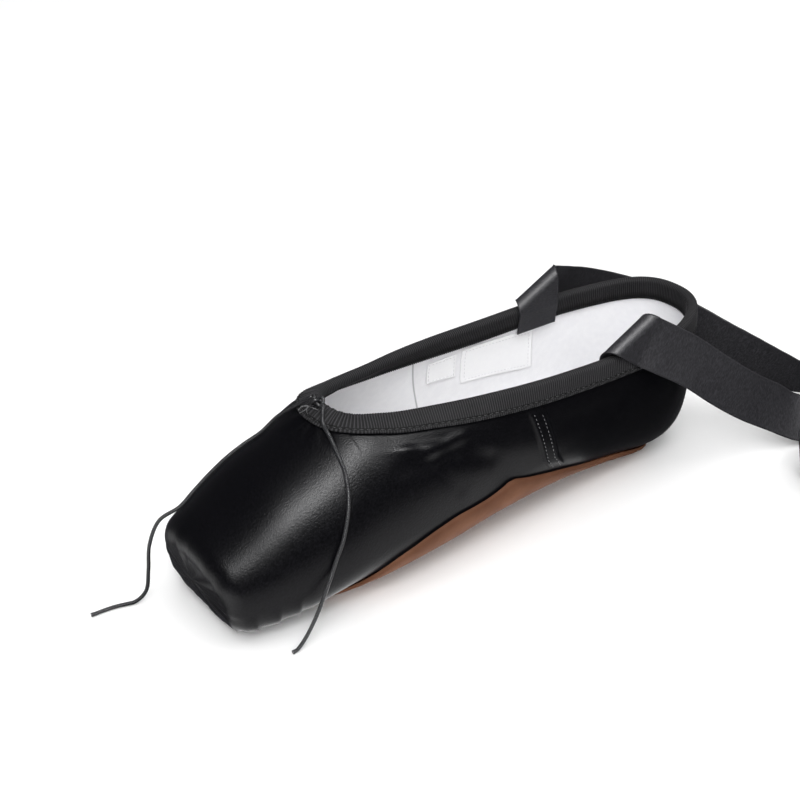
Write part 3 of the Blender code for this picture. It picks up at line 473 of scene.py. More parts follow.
# Finer counts and sizes of the dressed surfaces
UPPER_STEP = 0.0009
UPPER_RINGS = 72
END_RUNS = (0.024, 0.012, 0.055)  # distances over the platform, its edge and the heel
LINING_STEP = 0.0014
LINING_RINGS = 40
LINING_FOLLOWS = 0.8  # share of the satin's folds that the lining follows
LINING_SEAM = 0.1134  # platform to the foot of the seam drawn on the lining
SATIN_SHARE = 0.55  # share of the wall that is satin and canvas, with the lining inside it
PLY_GAP = 0.00002
RIB_PITCH = 0.00098
RIB_RISE = 0.00020
RIB_ROWS = 4  # rows to each rib of the binding
COLLAR_POINTS = 1200  # points along the row of stitches
LIP_PITCH = 0.0012
LIP_RISE = 0.00022
GATHER_RISE = 0.0005  # bunching of the binding where the drawstring pulls the throat together
GATHER_REACH = 0.010
GATHER_PITCH = 0.0034
SEAM_LIP = 0.00028  # height of the rolled front edge of the side seam
LIP_TURN = 0.0004  # how far the lip's skins turn in before its tip
GROOVE_DEPTH = 0.0058  # collar line to the stitched groove of the binding
GROOVE_HALF = 0.00025  # half-width of its floor
GROOVE_SIDE = 0.0006  # its middle to the top of its sides
GROOVE_MARK = 0.0004  # half-width of the groove that is painted dark as shade
OUTSIDE_DEPTHS = (0.0050, 0.0037, 0.0024, 0.0012, 0.0)  # rows of the binding, below the collar line
INSIDE_DEPTHS = (0.0, 0.0020, 0.0040, 0.0060, 0.0076)
FOLD_TURNS = (25, 50, 75, 90, 105, 130, 155)  # rows over its fold, in degrees
STITCH = 0.0017
STITCH_GAP = 0.0009
THREAD = 0.00028
SEAM_STITCH = 0.0019  # pitch of the stitches down the side seam
SEAM_STITCH_LENGTH = 0.0009
SEAM_ROWS = (0.24, 0.74)  # places of its two rows, as shares of its width
FINE_THREAD = 0.00026
THREAD_CLEAR = 0.00004  # cloth to the middle of the threads on it
LABEL_STITCH = 0.0018
LABEL_STITCH_LENGTH = 0.0012
LABEL_THREAD = 0.00024
LABEL_THREAD_CLEAR = 0.00005
LABEL_WAVE = 0.00012
RIBBON_ROWS = (16, 56, 300)  # on the sewn end, on the fold and on the free length
RIBBON_COLUMNS = 29
RIBBON_SHEET = 0.00016  # half the thickness of the ribbon between its selvedges
SELVEDGE_WIDTH = 0.045  # as a share of half the ribbon's width
SELVEDGE_RISE = 0.00012
SELVEDGE_RIPPLE = 0.00006
SELVEDGE_PITCH = 0.0011
CORD_PITCH = 0.0011  # one turn of the elastic's strands
CORD_POINTS = 240
CORD_SIDES = 14
CORD_FLARE = (1.0, 1.04, 1.1, 1.12)  # how the cut end spreads, as shares of the radius
KNOT_CORD = 0.42  # radius of the cord pulled tight in the knot, as a share of its diameter
# Cut thread ends under the knot: heading in degrees, length in millimetres, and curl.
FRAYS = [(-60, 4.5, 1.2), (-25, 3.5, -1.0), (15, 4.0, 0.9), (50, 5.0, -1.3), (85, 3.8, 1.0)]
PLEAT_TURN = 13.5  # degrees between the gathers under the toe
PLEAT_RISE = 0.0008
PLEAT_SLOW = 0.85  # share of each gather that rises slowly, before its step
PLEAT_TOP = -0.25  # station on the platform's rounded edge where the gathers are full
PUCKER_RISE = 0.00035
PUCKER_REACH = 0.007
PUCKER_FOLDS = 9  # folds in a full turn about the throat
PUCKER_BACK = 0.004  # how far behind the throat they go on
PLATFORM_RISE = 0.00012  # height of the folds on the platform
EDGE_REACH = 0.0018  # height over which the folds go flat at the outsole and the binding

# Soft folds of the near side, 1, and the far side, -1: distance from the platform and section angle in
# degrees of each end, then half-width and height, with troughs below zero.
CREASES = {
    1: [
        (0.064, 57, 0.0769, 44, 0.0036, 0.0005), (0.0769, 44, 0.086, 36.5, 0.0036, 0.0006),
        (0.086, 36.5, 0.1, 34.5, 0.0034, 0.0006), (0.07, 55, 0.093, 41, 0.0026, -0.0005),
        (0.103, 30, 0.086, 31, 0.003, -0.0006), (0.086, 31, 0.072, 34, 0.0034, -0.0004),
        (0.097, 27.5, 0.111, 17, 0.0036, -0.0006), (0.0889, 22.8, 0.0952, 10, 0.0034, -0.0003),
        (0.113, 20.5, 0.134, 11, 0.006, 0.0004), (0.1494, 18.4, 0.162, 15, 0.005, 0.0004),
        (0.1463, 6.3, 0.174, 0.1, 0.006, 0.0003), (0.152, 12.5, 0.178, 9, 0.0045, -0.0004),
        (0.195, 22, 0.212, 4, 0.006, -0.0004),
    ],
    -1: [
        (0.065, 56, 0.079, 42.5, 0.0036, 0.0005), (0.079, 42.5, 0.098, 35, 0.0036, 0.0006),
        (0.071, 54, 0.091, 40, 0.0026, -0.0005), (0.1035, 28.5, 0.076, 32.5, 0.0032, -0.0006),
        (0.098, 25, 0.112, 14, 0.004, -0.0005), (0.115, 18, 0.133, 8, 0.006, 0.0004),
        (0.15, 16, 0.166, 4, 0.0055, 0.0004), (0.16, 14, 0.182, 7, 0.0045, -0.0004),
        (0.196, 18, 0.21, -2, 0.0055, -0.0004),
    ],
}


class Signal:
    """A socket's value. Arithmetic with numbers or other signals adds Math nodes."""

    def __init__(self, finish, socket):
        self.finish = finish
        self.socket = socket

    def math(self, operation, *others):
        return self.finish.node("Math", {"operation": operation}, dict(enumerate([self, *others])))

    def __add__(self, other):
        return self.math("ADD", other)

    def __sub__(self, other):
        return self.math("SUBTRACT", other)

    def __rsub__(self, other):
        return self.finish.node("Math", {"operation": "SUBTRACT"}, {0: other, 1: self})

    def __mul__(self, other):
        return self.math("MULTIPLY", other)

    __radd__ = __add__
    __rmul__ = __mul__

    def sine(self):
        return self.math("SINE")

    def size(self):
        return self.math("ABSOLUTE")

    def eased(self, low, high):
        """0 where the signal is low, 1 where it is high, and eased between them."""
        ends = {"Value": self, 1: low, 2: high}
        return self.finish.node("MapRange", {"interpolation_type": "SMOOTHSTEP"}, ends)


class Finish:
    """A surface finish: one Principled shader, with the numbers that stay the same on its own sockets."""

    def __init__(self, name, color, roughness, numbers=None):
        self.material = bpy.data.materials.new(name)
        self.material.use_nodes = True
        self.material.diffuse_color = (*color, 1)
        self.tree = self.material.node_tree
        self.shader = self.tree.nodes["Principled BSDF"]
        start = {"Base Color": (*color, 1), "Roughness": roughness, **(numbers or {})}
        for socket, value in start.items():
            self.shader.inputs[socket].default_value = value

    def node(self, kind, settings=None, inputs=None, output=0):
        """Adds one node: its settings first, then the value or link of each named socket."""
        made = self.tree.nodes.new("ShaderNode" + kind)
        for name, value in (settings or {}).items():
            setattr(made, name, value)
        for key, value in (inputs or {}).items():
            if isinstance(value, Signal):
                self.tree.links.new(value.socket, made.inputs[key])
            else:
                made.inputs[key].default_value = value
        return Signal(self, made.outputs[output])

    def cloth(self, scale=(1, 1, 1)):
        """The surface's own coordinates in metres, along the piece and round it, times scale."""
        own = self.node("Attribute", {"attribute_name": "cloth"}, output=1)
        return self.node("VectorMath", {"operation": "MULTIPLY"}, {0: own, 1: scale})

    def place(self):
        return self.node("TexCoord", output=3)

    def axis(self, vector, number):
        return self.node("SeparateXYZ", None, {"Vector": vector}, output=number)

    def noise(self, vector, scale, detail=2.0, roughness=0.5):
        numbers = {"Vector": vector, "Scale": scale, "Detail": detail, "Roughness": roughness}
        return self.node("TexNoise", None, numbers)

    def mixed(self, share, first, second):
        """A colour from first to second by share. Either may be a tuple or a signal."""
        ends = [(*end, 1) if isinstance(end, tuple) else end for end in (first, second)]
        return self.node("Mix", {"data_type": "RGBA"}, {0: share, 6: ends[0], 7: ends[1]}, output=2)

    def cover(self, color, roughness, height, distance, strength):
        """Drives colour, roughness and relief. height runs from 0 to 1 and is this distance deep."""
        relief = {"Height": height, "Distance": distance, "Strength": strength}
        driven = {"Base Color": color, "Roughness": roughness, "Normal": self.node("Bump", None, relief)}
        for socket, signal in driven.items():
            self.tree.links.new(signal.socket, self.shader.inputs[socket])
        return self


def satin_finish(name, dark, light, along, across, gloss, rough):
    """Satin: long floats of thread side by side, so that noise is drawn out along them, on a soft gloss."""
    made = Finish(name, dark, 0.40, {
        "Specular IOR Level": gloss,
        "Sheen Weight": 0.03,
        "Sheen Roughness": 0.35,
        "Sheen Tint": (0.72, 0.70, 0.86, 1),
    })
    floats = made.noise(made.cloth((along, across, 1)), 1.0, 1.0)
    knots = made.noise(made.cloth((across, across, 1)), 0.55, 2.0)
    wide = made.noise(made.place(), 45.0, 3.0)
    color = made.mixed(floats.eased(0.3, 0.8), dark, light)
    return made.cover(color, rough + 0.10 * wide + 0.20 * floats, 0.7 * floats + 0.3 * knots, 0.00012, 0.9)


def tape_finish():
    """Ribbed cotton tape: fine twisted yarns on the modelled ribs, with painted shade that darkens the gaps
    between them and the stitched groove and a painted highlight on the rib crowns, matte and a little dusty."""
    steady = {"Sheen Weight": 0.03, "Specular IOR Level": 0.10}
    made = Finish("ribbed_tape", (0.020, 0.020, 0.022), 0.78, steady)
    # painted shade and highlight: the colour follows the modelled ribs, darker in the gaps between them and
    # lighter on their crowns
    rib = (made.axis(made.cloth(), 0) * (2 * np.pi / RIB_PITCH) + np.pi / 2).sine()
    yarn = made.noise(made.cloth((1500, 4200, 1)), 1.0, 2.0)
    wide = made.noise(made.place(), 70.0, 3.0)
    # painted shade: the stitched groove, marked in the cloth attribute, is coloured nearly black
    groove_painted_shade = 1 - made.axis(made.cloth(), 2) * 0.9
    tone = (rib.eased(-0.2, 0.95) * 0.8 + yarn * 0.5 + wide * 0.3 - 0.3) * groove_painted_shade
    color = made.mixed(tone, (0.0012, 0.0012, 0.0015), (0.030, 0.029, 0.032))
    return made.cover(color, 0.66 + 0.25 * yarn, yarn, 0.00008, 0.8)


def leather_finish():
    """Sole leather: fine pores, soft clouds of colour, a darker skived edge and rubbed spots where it
    stands."""
    made = Finish("sole_leather", (0.15, 0.066, 0.036), 0.7, {"Specular IOR Level": 0.04})
    spot = made.place()
    clouds = made.noise(spot, 60.0, 4.0)
    pores = made.node("TexVoronoi", {"feature": "F1"}, {"Vector": spot, "Scale": 1500.0})
    fibre = made.noise(made.cloth((300, 1800, 1)), 1.0, 3.0)
    edge = made.axis(made.cloth(), 2).eased(0.80, 1.0)
    tone = made.mixed(clouds.eased(0.25, 0.75), (0.120, 0.050, 0.026), (0.190, 0.086, 0.048))
    skived = made.mixed(edge * 0.55, tone, (0.055, 0.022, 0.012))
    worn = (1 - made.axis(spot, 2).eased(0.0, 0.0006)) * clouds.eased(0.35, 0.6)
    color = made.mixed(worn * 0.6, skived, (0.26, 0.15, 0.10))
    return made.cover(color, 0.60 + 0.2 * fibre + 0.15 * worn, 0.5 * pores + 0.5 * fibre, 0.00010, 0.7)


def woven_finish(name, color, shade, pitch, seam=0.0):
    """Plain-woven cotton: two crossed sets of threads, whose crowns rise in turn. seam draws a sewn join
    this far from the platform, leaning forward as it rises."""
    made = Finish(name, color, 0.80, {"Sheen Weight": 0.15, "Specular IOR Level": 0.3})
    own = made.cloth()
    turn = 2 * np.pi / pitch
    weave = (made.axis(own, 0) * turn).sine() * (made.axis(own, 1) * turn).sine()
    uneven = made.noise(made.cloth((400, 400, 1)), 1.0, 3.0)
    clouds = made.noise(made.place(), 30.0, 3.0)
    tone = (weave * 0.25 + uneven * 0.6 + clouds * 0.4).eased(0.2, 0.9)
    height = weave * 0.5 + uneven
    color_link = made.mixed(tone, shade, color)
    if seam:
        line = ((made.axis(own, 0) - seam) + made.axis(own, 1) * -0.16).size().eased(0.0001, 0.0006)
        color_link = made.mixed(line, tuple(0.55 * c for c in shade), color_link)
        height = height + 3 * line
    return made.cover(color_link, 0.72 + 0.2 * uneven, height, 0.00006, 0.6)


def cord_finish():
    """Braided elastic: two sets of strands that wind round it in opposite turns."""
    made = Finish("braided_elastic", (0.014, 0.014, 0.016), 0.4, {"Specular IOR Level": 0.3})
    own = made.cloth()
    along, around = made.axis(own, 0), made.axis(own, 1)
    pitch = 2 * np.pi / CORD_PITCH
    strands = (along * pitch + around * 3).sine() * (along * pitch - around * 3).sine()
    tone = made.mixed(strands.eased(-0.8, 0.8), (0.006, 0.006, 0.007), (0.024, 0.024, 0.027))
    color = made.mixed(made.axis(own, 2).eased(0.5, 1.0), tone, (0.30, 0.29, 0.28))
    return made.cover(color, 0.34 + 0.10 * strands, strands, 0.00008, 0.8)


def thread_finish(name, dark, light):
    """Sewing thread: a fine twist along it, with a light gloss."""
    made = Finish(name, dark, 0.45, {"Sheen Weight": 0.1, "Specular IOR Level": 0.3})
    twist = made.noise(made.place(), 2600.0, 1.0)
    color = made.mixed(twist.eased(0.3, 0.7), dark, light)
    return made.cover(color, 0.30 + 0.3 * twist, twist, 0.00004, 0.6)


def grid_faces(rows, columns, wrap=False):
    """Corner numbers of a grid's quads, row after row. wrap joins its last column to its first."""
    i = np.arange(rows - 1)[:, None] * columns
    j = np.arange(columns if wrap else columns - 1)[None, :]
    k = (j + 1) % columns
    return np.stack([i + j, i + columns + j, i + columns + k, i + k], axis=-1).reshape(-1, 4)


def bundle(points, cloth, faces):
    """Flat arrays of corners and of their own coordinates, with the faces between them."""
    return points.reshape(-1, 3), cloth.reshape(-1, 3), faces


def coordinates(first, second, third=0.0):
    """Own coordinates of a grid: distance along, distance round and one share, in the cloth attribute."""
    return np.stack(np.broadcast_arrays(first, second, third), axis=-1).astype(float)


def shell(outer, inner, cloth):
    """A closed wall between two grids of the same size: both skins and a strip round each open edge. A
    strip that lies on the centre plane is left out, because the other half goes on there."""
    rows, columns = outer.shape[:2]
    count = rows * columns
    skin = grid_faces(rows, columns)
    number = np.arange(count).reshape(rows, columns)
    rims = []
    for edge in [number[::-1, 0], number[:, -1], number[0, :], number[-1, ::-1]]:
        rims.append(np.stack([edge[:-1], edge[1:], edge[1:] + count, edge[:-1] + count], axis=-1))
    points = np.concatenate([outer.reshape(-1, 3), inner.reshape(-1, 3)])
    rims = np.concatenate(rims)
    rims = rims[np.abs(points[rims, 0]).max(axis=1) > 1e-6]
    faces = np.concatenate([skin, skin[:, ::-1] + count, rims])
    return points, np.tile(cloth.reshape(-1, 3), (2, 1)), faces


def other_side(made):
    """The bundle mirrored over the centre plane, with its faces turned back outwards."""
    points, cloth, faces = made
    return points * [-1, 1, 1], cloth, faces[:, ::-1]


def both_halves(half):
    """The near half, half(1), and the far one, half(-1), which is built on +X too and then mirrored."""
    return [half(1), other_side(half(-1))]


def put(name, data):
    """A new object of the scene, at the origin, unturned and unscaled."""
    made = bpy.data.objects.new(name, data)
    bpy.context.scene.collection.objects.link(made)
    return made


def piece(name, bundles, finish, replaced=(), sharp=None):
    """One piece of the shoe from bundles of corners and faces, with doubled corners merged."""
    starts = np.cumsum([0] + [len(made[0]) for made in bundles])[:-1]
    points = np.concatenate([made[0] for made in bundles])
    cloth = np.concatenate([made[1] for made in bundles])
    faces = np.concatenate([made[2] + start for made, start in zip(bundles, starts)])
    mesh = bpy.data.meshes.new(name)
    mesh.from_pydata(points.tolist(), [], faces.tolist())
    mesh.attributes.new("cloth", "FLOAT_VECTOR", "POINT").data.foreach_set("vector", cloth.ravel())
    bm = bmesh.new()
    bm.from_mesh(mesh)
    bmesh.ops.remove_doubles(bm, verts=bm.verts, dist=2e-6)
    bmesh.ops.dissolve_degenerate(bm, edges=bm.edges, dist=1e-7)
    bm.to_mesh(mesh)
    bm.free()
    mesh.shade_smooth()
    if sharp is not None:
        mesh.set_sharp_from_angle(angle=np.radians(sharp))
    mesh.materials.append(finish.material)
    made = put(name, mesh)
    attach(made, "root")
    if replaced:
        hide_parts(*replaced)
    return made


def tube(path, radius, sides, reference=None, cut_end=False):
    """A round tube: a circle of the given radius in the plane across each point of the path, and a cap at
    each end. radius may change along the path."""
    path = np.asarray(path, float)
    tangent = unit(np.gradient(path, axis=0))
    if reference is None:
        choices = np.stack(np.meshgrid([-1, 0, 1], [-1, 0, 1], [0, 1]), -1).reshape(-1, 3)
        choices = unit(choices + [0.1, 0.2, 0.3])
        clear = np.linalg.norm(np.cross(tangent[None], choices[:, None]), axis=-1).min(axis=1)
        reference = choices[np.argmax(clear)]
    first = unit(np.cross(tangent, reference))
    second = np.cross(tangent, first)
    run = run_of(path)
    turn = np.linspace(0, 2 * np.pi, sides, endpoint=False)
    reach = np.broadcast_to(np.asarray(radius, float), (len(path),))[:, None, None]
    circle = np.cos(turn)[None, :, None] * first[:, None] + np.sin(turn)[None, :, None] * second[:, None]
    points = path[:, None] + reach * circle
    ends = np.repeat(path[[0, -1]][:, None], sides, axis=1)
    points = np.concatenate([ends[:1], points, ends[1:]])
    end_share = np.zeros(len(points))
    end_share[-1] = float(cut_end)
    along = np.concatenate([[0], run, run[-1:]])
    cloth = coordinates(along[:, None], turn[None, :], end_share[:, None])
    return bundle(points, cloth, grid_faces(len(points), sides, wrap=True))


def stitches(middle, direction, up, length, radius):
    """Short bowed threads, all of one shape: each is a five-ring tube that dives in at both ends."""
    t = np.array([-1.0, -0.8, 0.0, 0.8, 1.0])
    thin = np.array([0.35, 0.85, 1.0, 0.85, 0.35])
    turn = np.linspace(0, 2 * np.pi, 6, endpoint=False)
    side = unit(np.cross(direction, up))
    up = np.cross(side, direction)
    line = middle[:, None] + direction[:, None] * (t * length / 2)[None, :, None]
    line = line + up[:, None] * (radius * (0.6 - 1.6 * t**4))[None, :, None]
    around = np.cos(turn)[None, :, None] * side[:, None] + np.sin(turn)[None, :, None] * up[:, None]
    points = line[:, :, None] + (radius * thin)[None, :, None, None] * around[:, None]
    count, rings, sides = points.shape[:3]
    faces = grid_faces(rings, sides, wrap=True)
    caps = np.array([[0, 1, 2, 3], [0, 3, 4, 5]])
    faces = np.concatenate([faces, caps, (caps + sides * (rings - 1))[:, ::-1]])
    faces = (faces[None] + (np.arange(count) * rings * sides)[:, None, None]).reshape(-1, 4)
    return bundle(points, 0 * points, faces)


def along_path(path, normals, step, length, radius):
    """A row of stitches, one every step along a path that lies on a surface with these normals."""
    run = run_of(path)
    at = np.arange(step / 2, run[-1], step)
    middle = read_along(at, run, path)
    direction = unit(read_along(at + length / 2, run, path) - middle)
    return stitches(middle, direction, unit(read_along(at, run, normals)), length, radius)


def girth(along, angle, steps=24):
    """Distance over the last from the top's centre line down to this angle."""
    share = np.linspace(0, 1, steps).reshape(-1, *[1] * np.ndim(angle))
    angles = np.pi / 2 + (angle - np.pi / 2) * share
    points = last(along + 0 * angles, angles)
    return np.sum(np.linalg.norm(np.diff(points, axis=0), axis=-1), axis=0)


def falling(distance, reach):
    """A soft hump: 1 at no distance, one third at reach, and soon nothing."""
    return np.exp(-((distance / reach) ** 2))


def creases(points, side):
    """Height of one side's soft folds: each is a hump or trough along a straight line between two spots
    of the last."""
    height = np.zeros(points.shape[:-1])
    for place, angle, to_place, to_angle, wide, rise in CREASES[side]:
        ends = last(along_at(np.array([place, to_place])), np.radians([angle, to_angle]))
        run = ends[1] - ends[0]
        share = np.clip(np.sum((points - ends[0]) * run, axis=-1) / np.sum(run * run), 0, 1)
        distance = np.linalg.norm(points - ends[0] - share[..., None] * run, axis=-1)
        height += rise * falling(distance, wide)
    return height


def clear_of_edges(along, angle):
    """1 on open satin, going to 0 at the outsole's edge and at the binding's."""
    height = last(along, angle)[..., 2]
    above_sole = (height - last(along, sole_angle(along))[..., 2]) / EDGE_REACH
    high = collar_angle(along)
    below_tape = (last(along, high)[..., 2] - BINDING_DEPTH - height) / EDGE_REACH
    below_tape = np.where(high > np.pi / 2 - 1e-6, 1, below_tape)
    return np.clip(above_sole, 0, 1) * np.clip(below_tape, 0, 1)


def pleats(points, along, angle):
    """The gathers under the toe. Their lines fan out from the tip of the outsole, each fold rises slowly and
    ends in a step, and all of them go flat where the satin turns on to the platform."""
    ahead = SOLE_FRONT - BALL_PLACE - points[..., 1]
    turn = np.degrees(np.arctan2(np.abs(points[..., 0]), ahead + 0.002)) / PLEAT_TURN
    share = turn - np.floor(turn)
    fold = np.where(share < PLEAT_SLOW, share / PLEAT_SLOW, (1 - share) / (1 - PLEAT_SLOW)) ** 1.5
    low = np.clip((-np.degrees(angle) - 9) / 20, 0, 1)
    out = np.clip(np.hypot(points[..., 0], ahead) / 0.010 - 0.3, 0, 1)
    before = np.clip((ahead + 0.006) / 0.008, 0, 1)
    below_platform = np.clip((along + 1) / (PLEAT_TOP + 1), 0, 1) ** 2
    return PLEAT_RISE * (fold - 0.4) * low * out * before * below_platform


def pucker(points):
    """Short folds in the vamp where the drawstring gathers the throat: ribs that fan out from it and fade."""
    center = last(along_at(np.array(VAMP_LENGTH)), np.pi / 2)
    away = points - center
    reach = np.linalg.norm(away, axis=-1)
    turn = np.arctan2(away[..., 0], -away[..., 1])
    fade = falling(np.maximum(reach - BINDING_DEPTH, 0), PUCKER_REACH)
    return PUCKER_RISE * np.cos(PUCKER_FOLDS * turn) * fade * (away[..., 1] < PUCKER_BACK)


def platform_folds(along, angle):
    """Faint folds of the satin pulled flat over the platform: two waves round the section, so that they fan
    out from the platform's centre and fade at its rim and its middle."""
    on = np.clip(-along, 0, 1) * np.clip(2 - np.abs(along), 0, 1) ** 0.5
    return PLATFORM_RISE * on * (np.cos(11 * angle + 0.7) + 0.7 * np.cos(17 * angle + 2.1))


def fine_stations(step, seam_rows):
    """Closely spaced rows of the upper, with closer ones where it opens and at the side seam."""
    even = np.arange(PLATFORM_EDGE, LENGTH - HEEL_ROUND, step)
    edges = [SOLE_FRONT + SOLE_TUCK + OPENING_STEPS, VAMP_LENGTH + OPENING_STEPS]
    if seam_rows:
        ramp = SEAM_PLACE + np.array([-0.5, -0.15, 0.15, 0.5]) * SEAM_RAMP
        edges = edges + [ramp, ramp + SEAM_WIDTH]
    special = np.sort(np.concatenate(edges))
    clear = np.min(np.abs(even[:, None] - special[None, :]), axis=1) > 0.4 * step
    middle = along_at(np.sort(np.concatenate([even[clear], special])))
    platform, edge, heel = (np.linspace(a, a + 1, int(run / step)) for a, run in zip((-2, -1, 1), END_RUNS))
    return np.concatenate([platform[:-1], edge[:-1], middle, heel[1:]])


def upper_grid(step, rings, seam_rows):
    """A fine grid over one half of the upper: its stations, section angles and shares, its points on the
    last, and how far each is clear of the edges."""
    share = np.linspace(0, 1, rings)[None, :]
    along = slanted(fine_stations(step, seam_rows)[:, None], share)
    low = opening_angle(along)
    angle = low + (collar_angle(along) - low) * share
    return along, angle, share, last(along, angle), clear_of_edges(along, angle)


def closed_points(along, angle, lift):
    """Points of the last lifted outwards, kept on the centre plane where the last meets it."""
    base = last(along, angle)
    points = base + np.asarray(lift)[..., None] * outward(along, angle)
    points[..., 0] = np.where(np.abs(base[..., 0]) < 2e-5, 0, points[..., 0])
    return points


def make_upper(satin):
    """The satin and canvas of the upper, both sides with folds of their own."""
    along, angle, share, base, open_satin = upper_grid(UPPER_STEP, UPPER_RINGS, True)
    relief = seam_relief(along, angle, share, SEAM_LIP) + pleats(base, along, angle) + pucker(base)
    cloth = coordinates(station(along)[0] + np.minimum(along, 0) * PLATFORM_EDGE, girth(along, angle), share)

    def half(side):
        soft = creases(base, side) * open_satin
        outer = closed_points(along, angle, soft + (relief + platform_folds(along, angle * side)))
        return shell(outer, closed_points(along, angle, soft - wall(along) * SATIN_SHARE), cloth)

    piece("satin_upper", both_halves(half), satin, ["upper"])


def make_lining(cotton):
    """The white lining, which follows the upper's folds more softly."""
    along, angle, share, base, open_satin = upper_grid(LINING_STEP, LINING_RINGS, False)
    cloth = coordinates(station(along)[0], girth(along, angle), share)

    def half(side):
        soft = creases(base, side) * open_satin
        outer = closed_points(along, angle, soft - wall(along) * SATIN_SHARE - PLY_GAP)
        return shell(outer, closed_points(along, angle, LINING_FOLLOWS * soft - wall(along)), cloth)

    piece("lining", both_halves(half), cotton)


def collar_line(count):
    """Stations of the +X collar line from throat to heel, an even distance apart, and those distances."""
    start = along_at(np.array(VAMP_LENGTH))
    t = np.linspace(0, 1, 6000) ** 2
    along = start + (2 - start) * t
    run = run_of(last(along, collar_angle(along)))
    even = np.linspace(0, run[-1], count)
    return np.interp(even, run, along), even


def collar_directions(count):
    """The collar line's stations and distances, its angles there, and the directions that lead down from it
    over the last."""
    along, distance = collar_line(count)
    angle = collar_angle(along)
    points = last(along, angle)
    other = points[::-1] * [-1, 1, 1]
    loop = np.concatenate([points, other[1:-1]])
    run = (np.roll(loop, -1, axis=0) - np.roll(loop, 1, axis=0))[: len(points)]
    run[0] = [1, 0, 0]
    run[-1] = [-1, 0, 0]
    down = unit(np.cross(outward(along, angle), run))
    down[down[:, 2] > 0.2] *= -1
    return along, distance, angle, down


def make_binding(tape):
    """The ribbed tape folded over the collar. Its outside leg has a stitched groove and a gathered lip
    below it, and ribs run over the whole fold."""
    ribs = int(collar_line(2)[1][-1] / RIB_PITCH)
    along, run, angle, down = collar_directions(ribs * RIB_ROWS + 1)
    inner = -(wall(along) + SEAT_GAP)
    out_skin = SEAT_GAP + BINDING_THICKNESS + 0 * along
    in_skin = inner - BINDING_THICKNESS
    middle = (out_skin + in_skin) / 2
    half = (out_skin - in_skin) / 2
    rib = RIB_RISE * np.cos(2 * np.pi * run / RIB_PITCH)
    rib = rib - GATHER_RISE * falling(run, GATHER_REACH) * np.cos(2 * np.pi * run / GATHER_PITCH)
    lip = LIP_RISE * np.cos(2 * np.pi * run / LIP_PITCH)
    lip_next = LIP_RISE * np.cos(2 * np.pi * run / LIP_PITCH + 2.0)
    leg, thick = BINDING_DEPTH, BINDING_THICKNESS
    profile = [
        (leg - LIP_TURN, SEAT_GAP + 0 * along),
        (leg, out_skin - 0.55 * thick),
        (leg + 0.0001, out_skin - 0.1 * thick + lip),
        (leg - LIP_TURN, out_skin + 0.1 * thick + lip),
        (GROOVE_DEPTH + GROOVE_SIDE, out_skin + 0.1 * thick + lip_next),
        (GROOVE_DEPTH + GROOVE_HALF, out_skin - 0.1 * thick),
        (GROOVE_DEPTH, out_skin - 0.45 * thick),
        (GROOVE_DEPTH - GROOVE_HALF, out_skin - 0.15 * thick),
        (GROOVE_DEPTH - GROOVE_SIDE, out_skin + rib),
    ]
    profile += [(depth, out_skin + rib) for depth in OUTSIDE_DEPTHS]
    for turn in np.radians(FOLD_TURNS):
        depth = -(CHANNEL + thick) * np.sin(turn)
        profile.append((depth, middle + half * np.cos(turn) + rib * np.cos(turn)))
    profile += [(depth, in_skin - rib) for depth in INSIDE_DEPTHS]
    profile += [(leg, in_skin + 0.3 * thick), (leg, inner), (leg / 2, inner), (-CHANNEL, inner)]
    profile += [(-CHANNEL, SEAT_GAP + 0 * along), (leg / 2, SEAT_GAP + 0 * along)]
    points = np.stack([over_collar(along, angle, down, depth, lift) for depth, lift in profile], axis=1)
    points[0, :, 0] = 0
    points[-1, :, 0] = 0
    across = np.cumsum(np.linalg.norm(np.diff(points[len(points) // 2], axis=0), axis=1))
    # the third cloth coordinate marks the stitched groove, where the tape's colour is painted dark as shade
    groove = np.array([abs(depth - GROOVE_DEPTH) < GROOVE_MARK for depth, _ in profile], float)
    cloth = coordinates(run[:, None], np.concatenate([[0], across])[None, :], groove[None, :])
    half_tape = bundle(points, cloth, grid_faces(*points.shape[:2], wrap=True)[:, ::-1])
    piece("ribbed_binding", [half_tape, other_side(half_tape)], tape, ["binding"])


def make_binding_stitches(thread):
    """The row of stitches sunk in the binding's groove, all round the collar."""
    along, run, angle, down = collar_directions(COLLAR_POINTS)
    lift = SEAT_GAP + 0.62 * BINDING_THICKNESS + 0 * along
    path = over_collar(along, angle, down, GROOVE_DEPTH, lift)
    above = over_collar(along, angle, down, GROOVE_DEPTH, lift + 0.001)
    row = along_path(path, unit(above - path), STITCH + STITCH_GAP, STITCH, THREAD / 2)
    piece("binding_stitches", [row, other_side(row)], thread)


def make_seam_stitches(thread):
    """Two rows of stitches down the lapped band of each side seam."""
    rows = []
    share = np.linspace(0.17, 0.83, 160)
    for behind in SEAM_ROWS:
        place = SEAM_PLACE + SEAM_SLANT * (0.5 - share) + SEAM_WIDTH * behind
        along = along_at(place)
        low, high = opening_angle(along), collar_angle(along)
        angle = low + (high - low) * share
        height = last(along, angle)[:, 2]
        sole = last(along, sole_angle(along))[:, 2]
        tape_edge = last(along, high)[:, 2] - BINDING_DEPTH
        keep = (height > sole + 0.0015) & (height < tape_edge - 0.0003)
        base = last(along, angle)
        normal = outward(along, angle)

        def half(side):
            rise = seam_relief(along, angle, share) + creases(base, side) * clear_of_edges(along, angle)
            path = base + (rise + THREAD_CLEAR)[:, None] * normal
            return along_path(path[keep], normal[keep], SEAM_STITCH, SEAM_STITCH_LENGTH, FINE_THREAD / 2)

        rows += both_halves(half)
    piece("seam_stitches", rows, thread)


def sole_grid(front, back, rows, rings, width):
    """Stations and angles of a sole-shaped grid between two distances, rounded off at both ends."""
    t = (1 - np.cos(np.linspace(0, np.pi, rows))) / 2
    share = np.linspace(0, 1, rings)[None, :]
    along = along_at(front + (back - front) * t)[:, None] + 0 * share
    edge = edge_angle(along, front, back, width)
    return along, -np.pi / 2 + (edge + np.pi / 2) * share, share


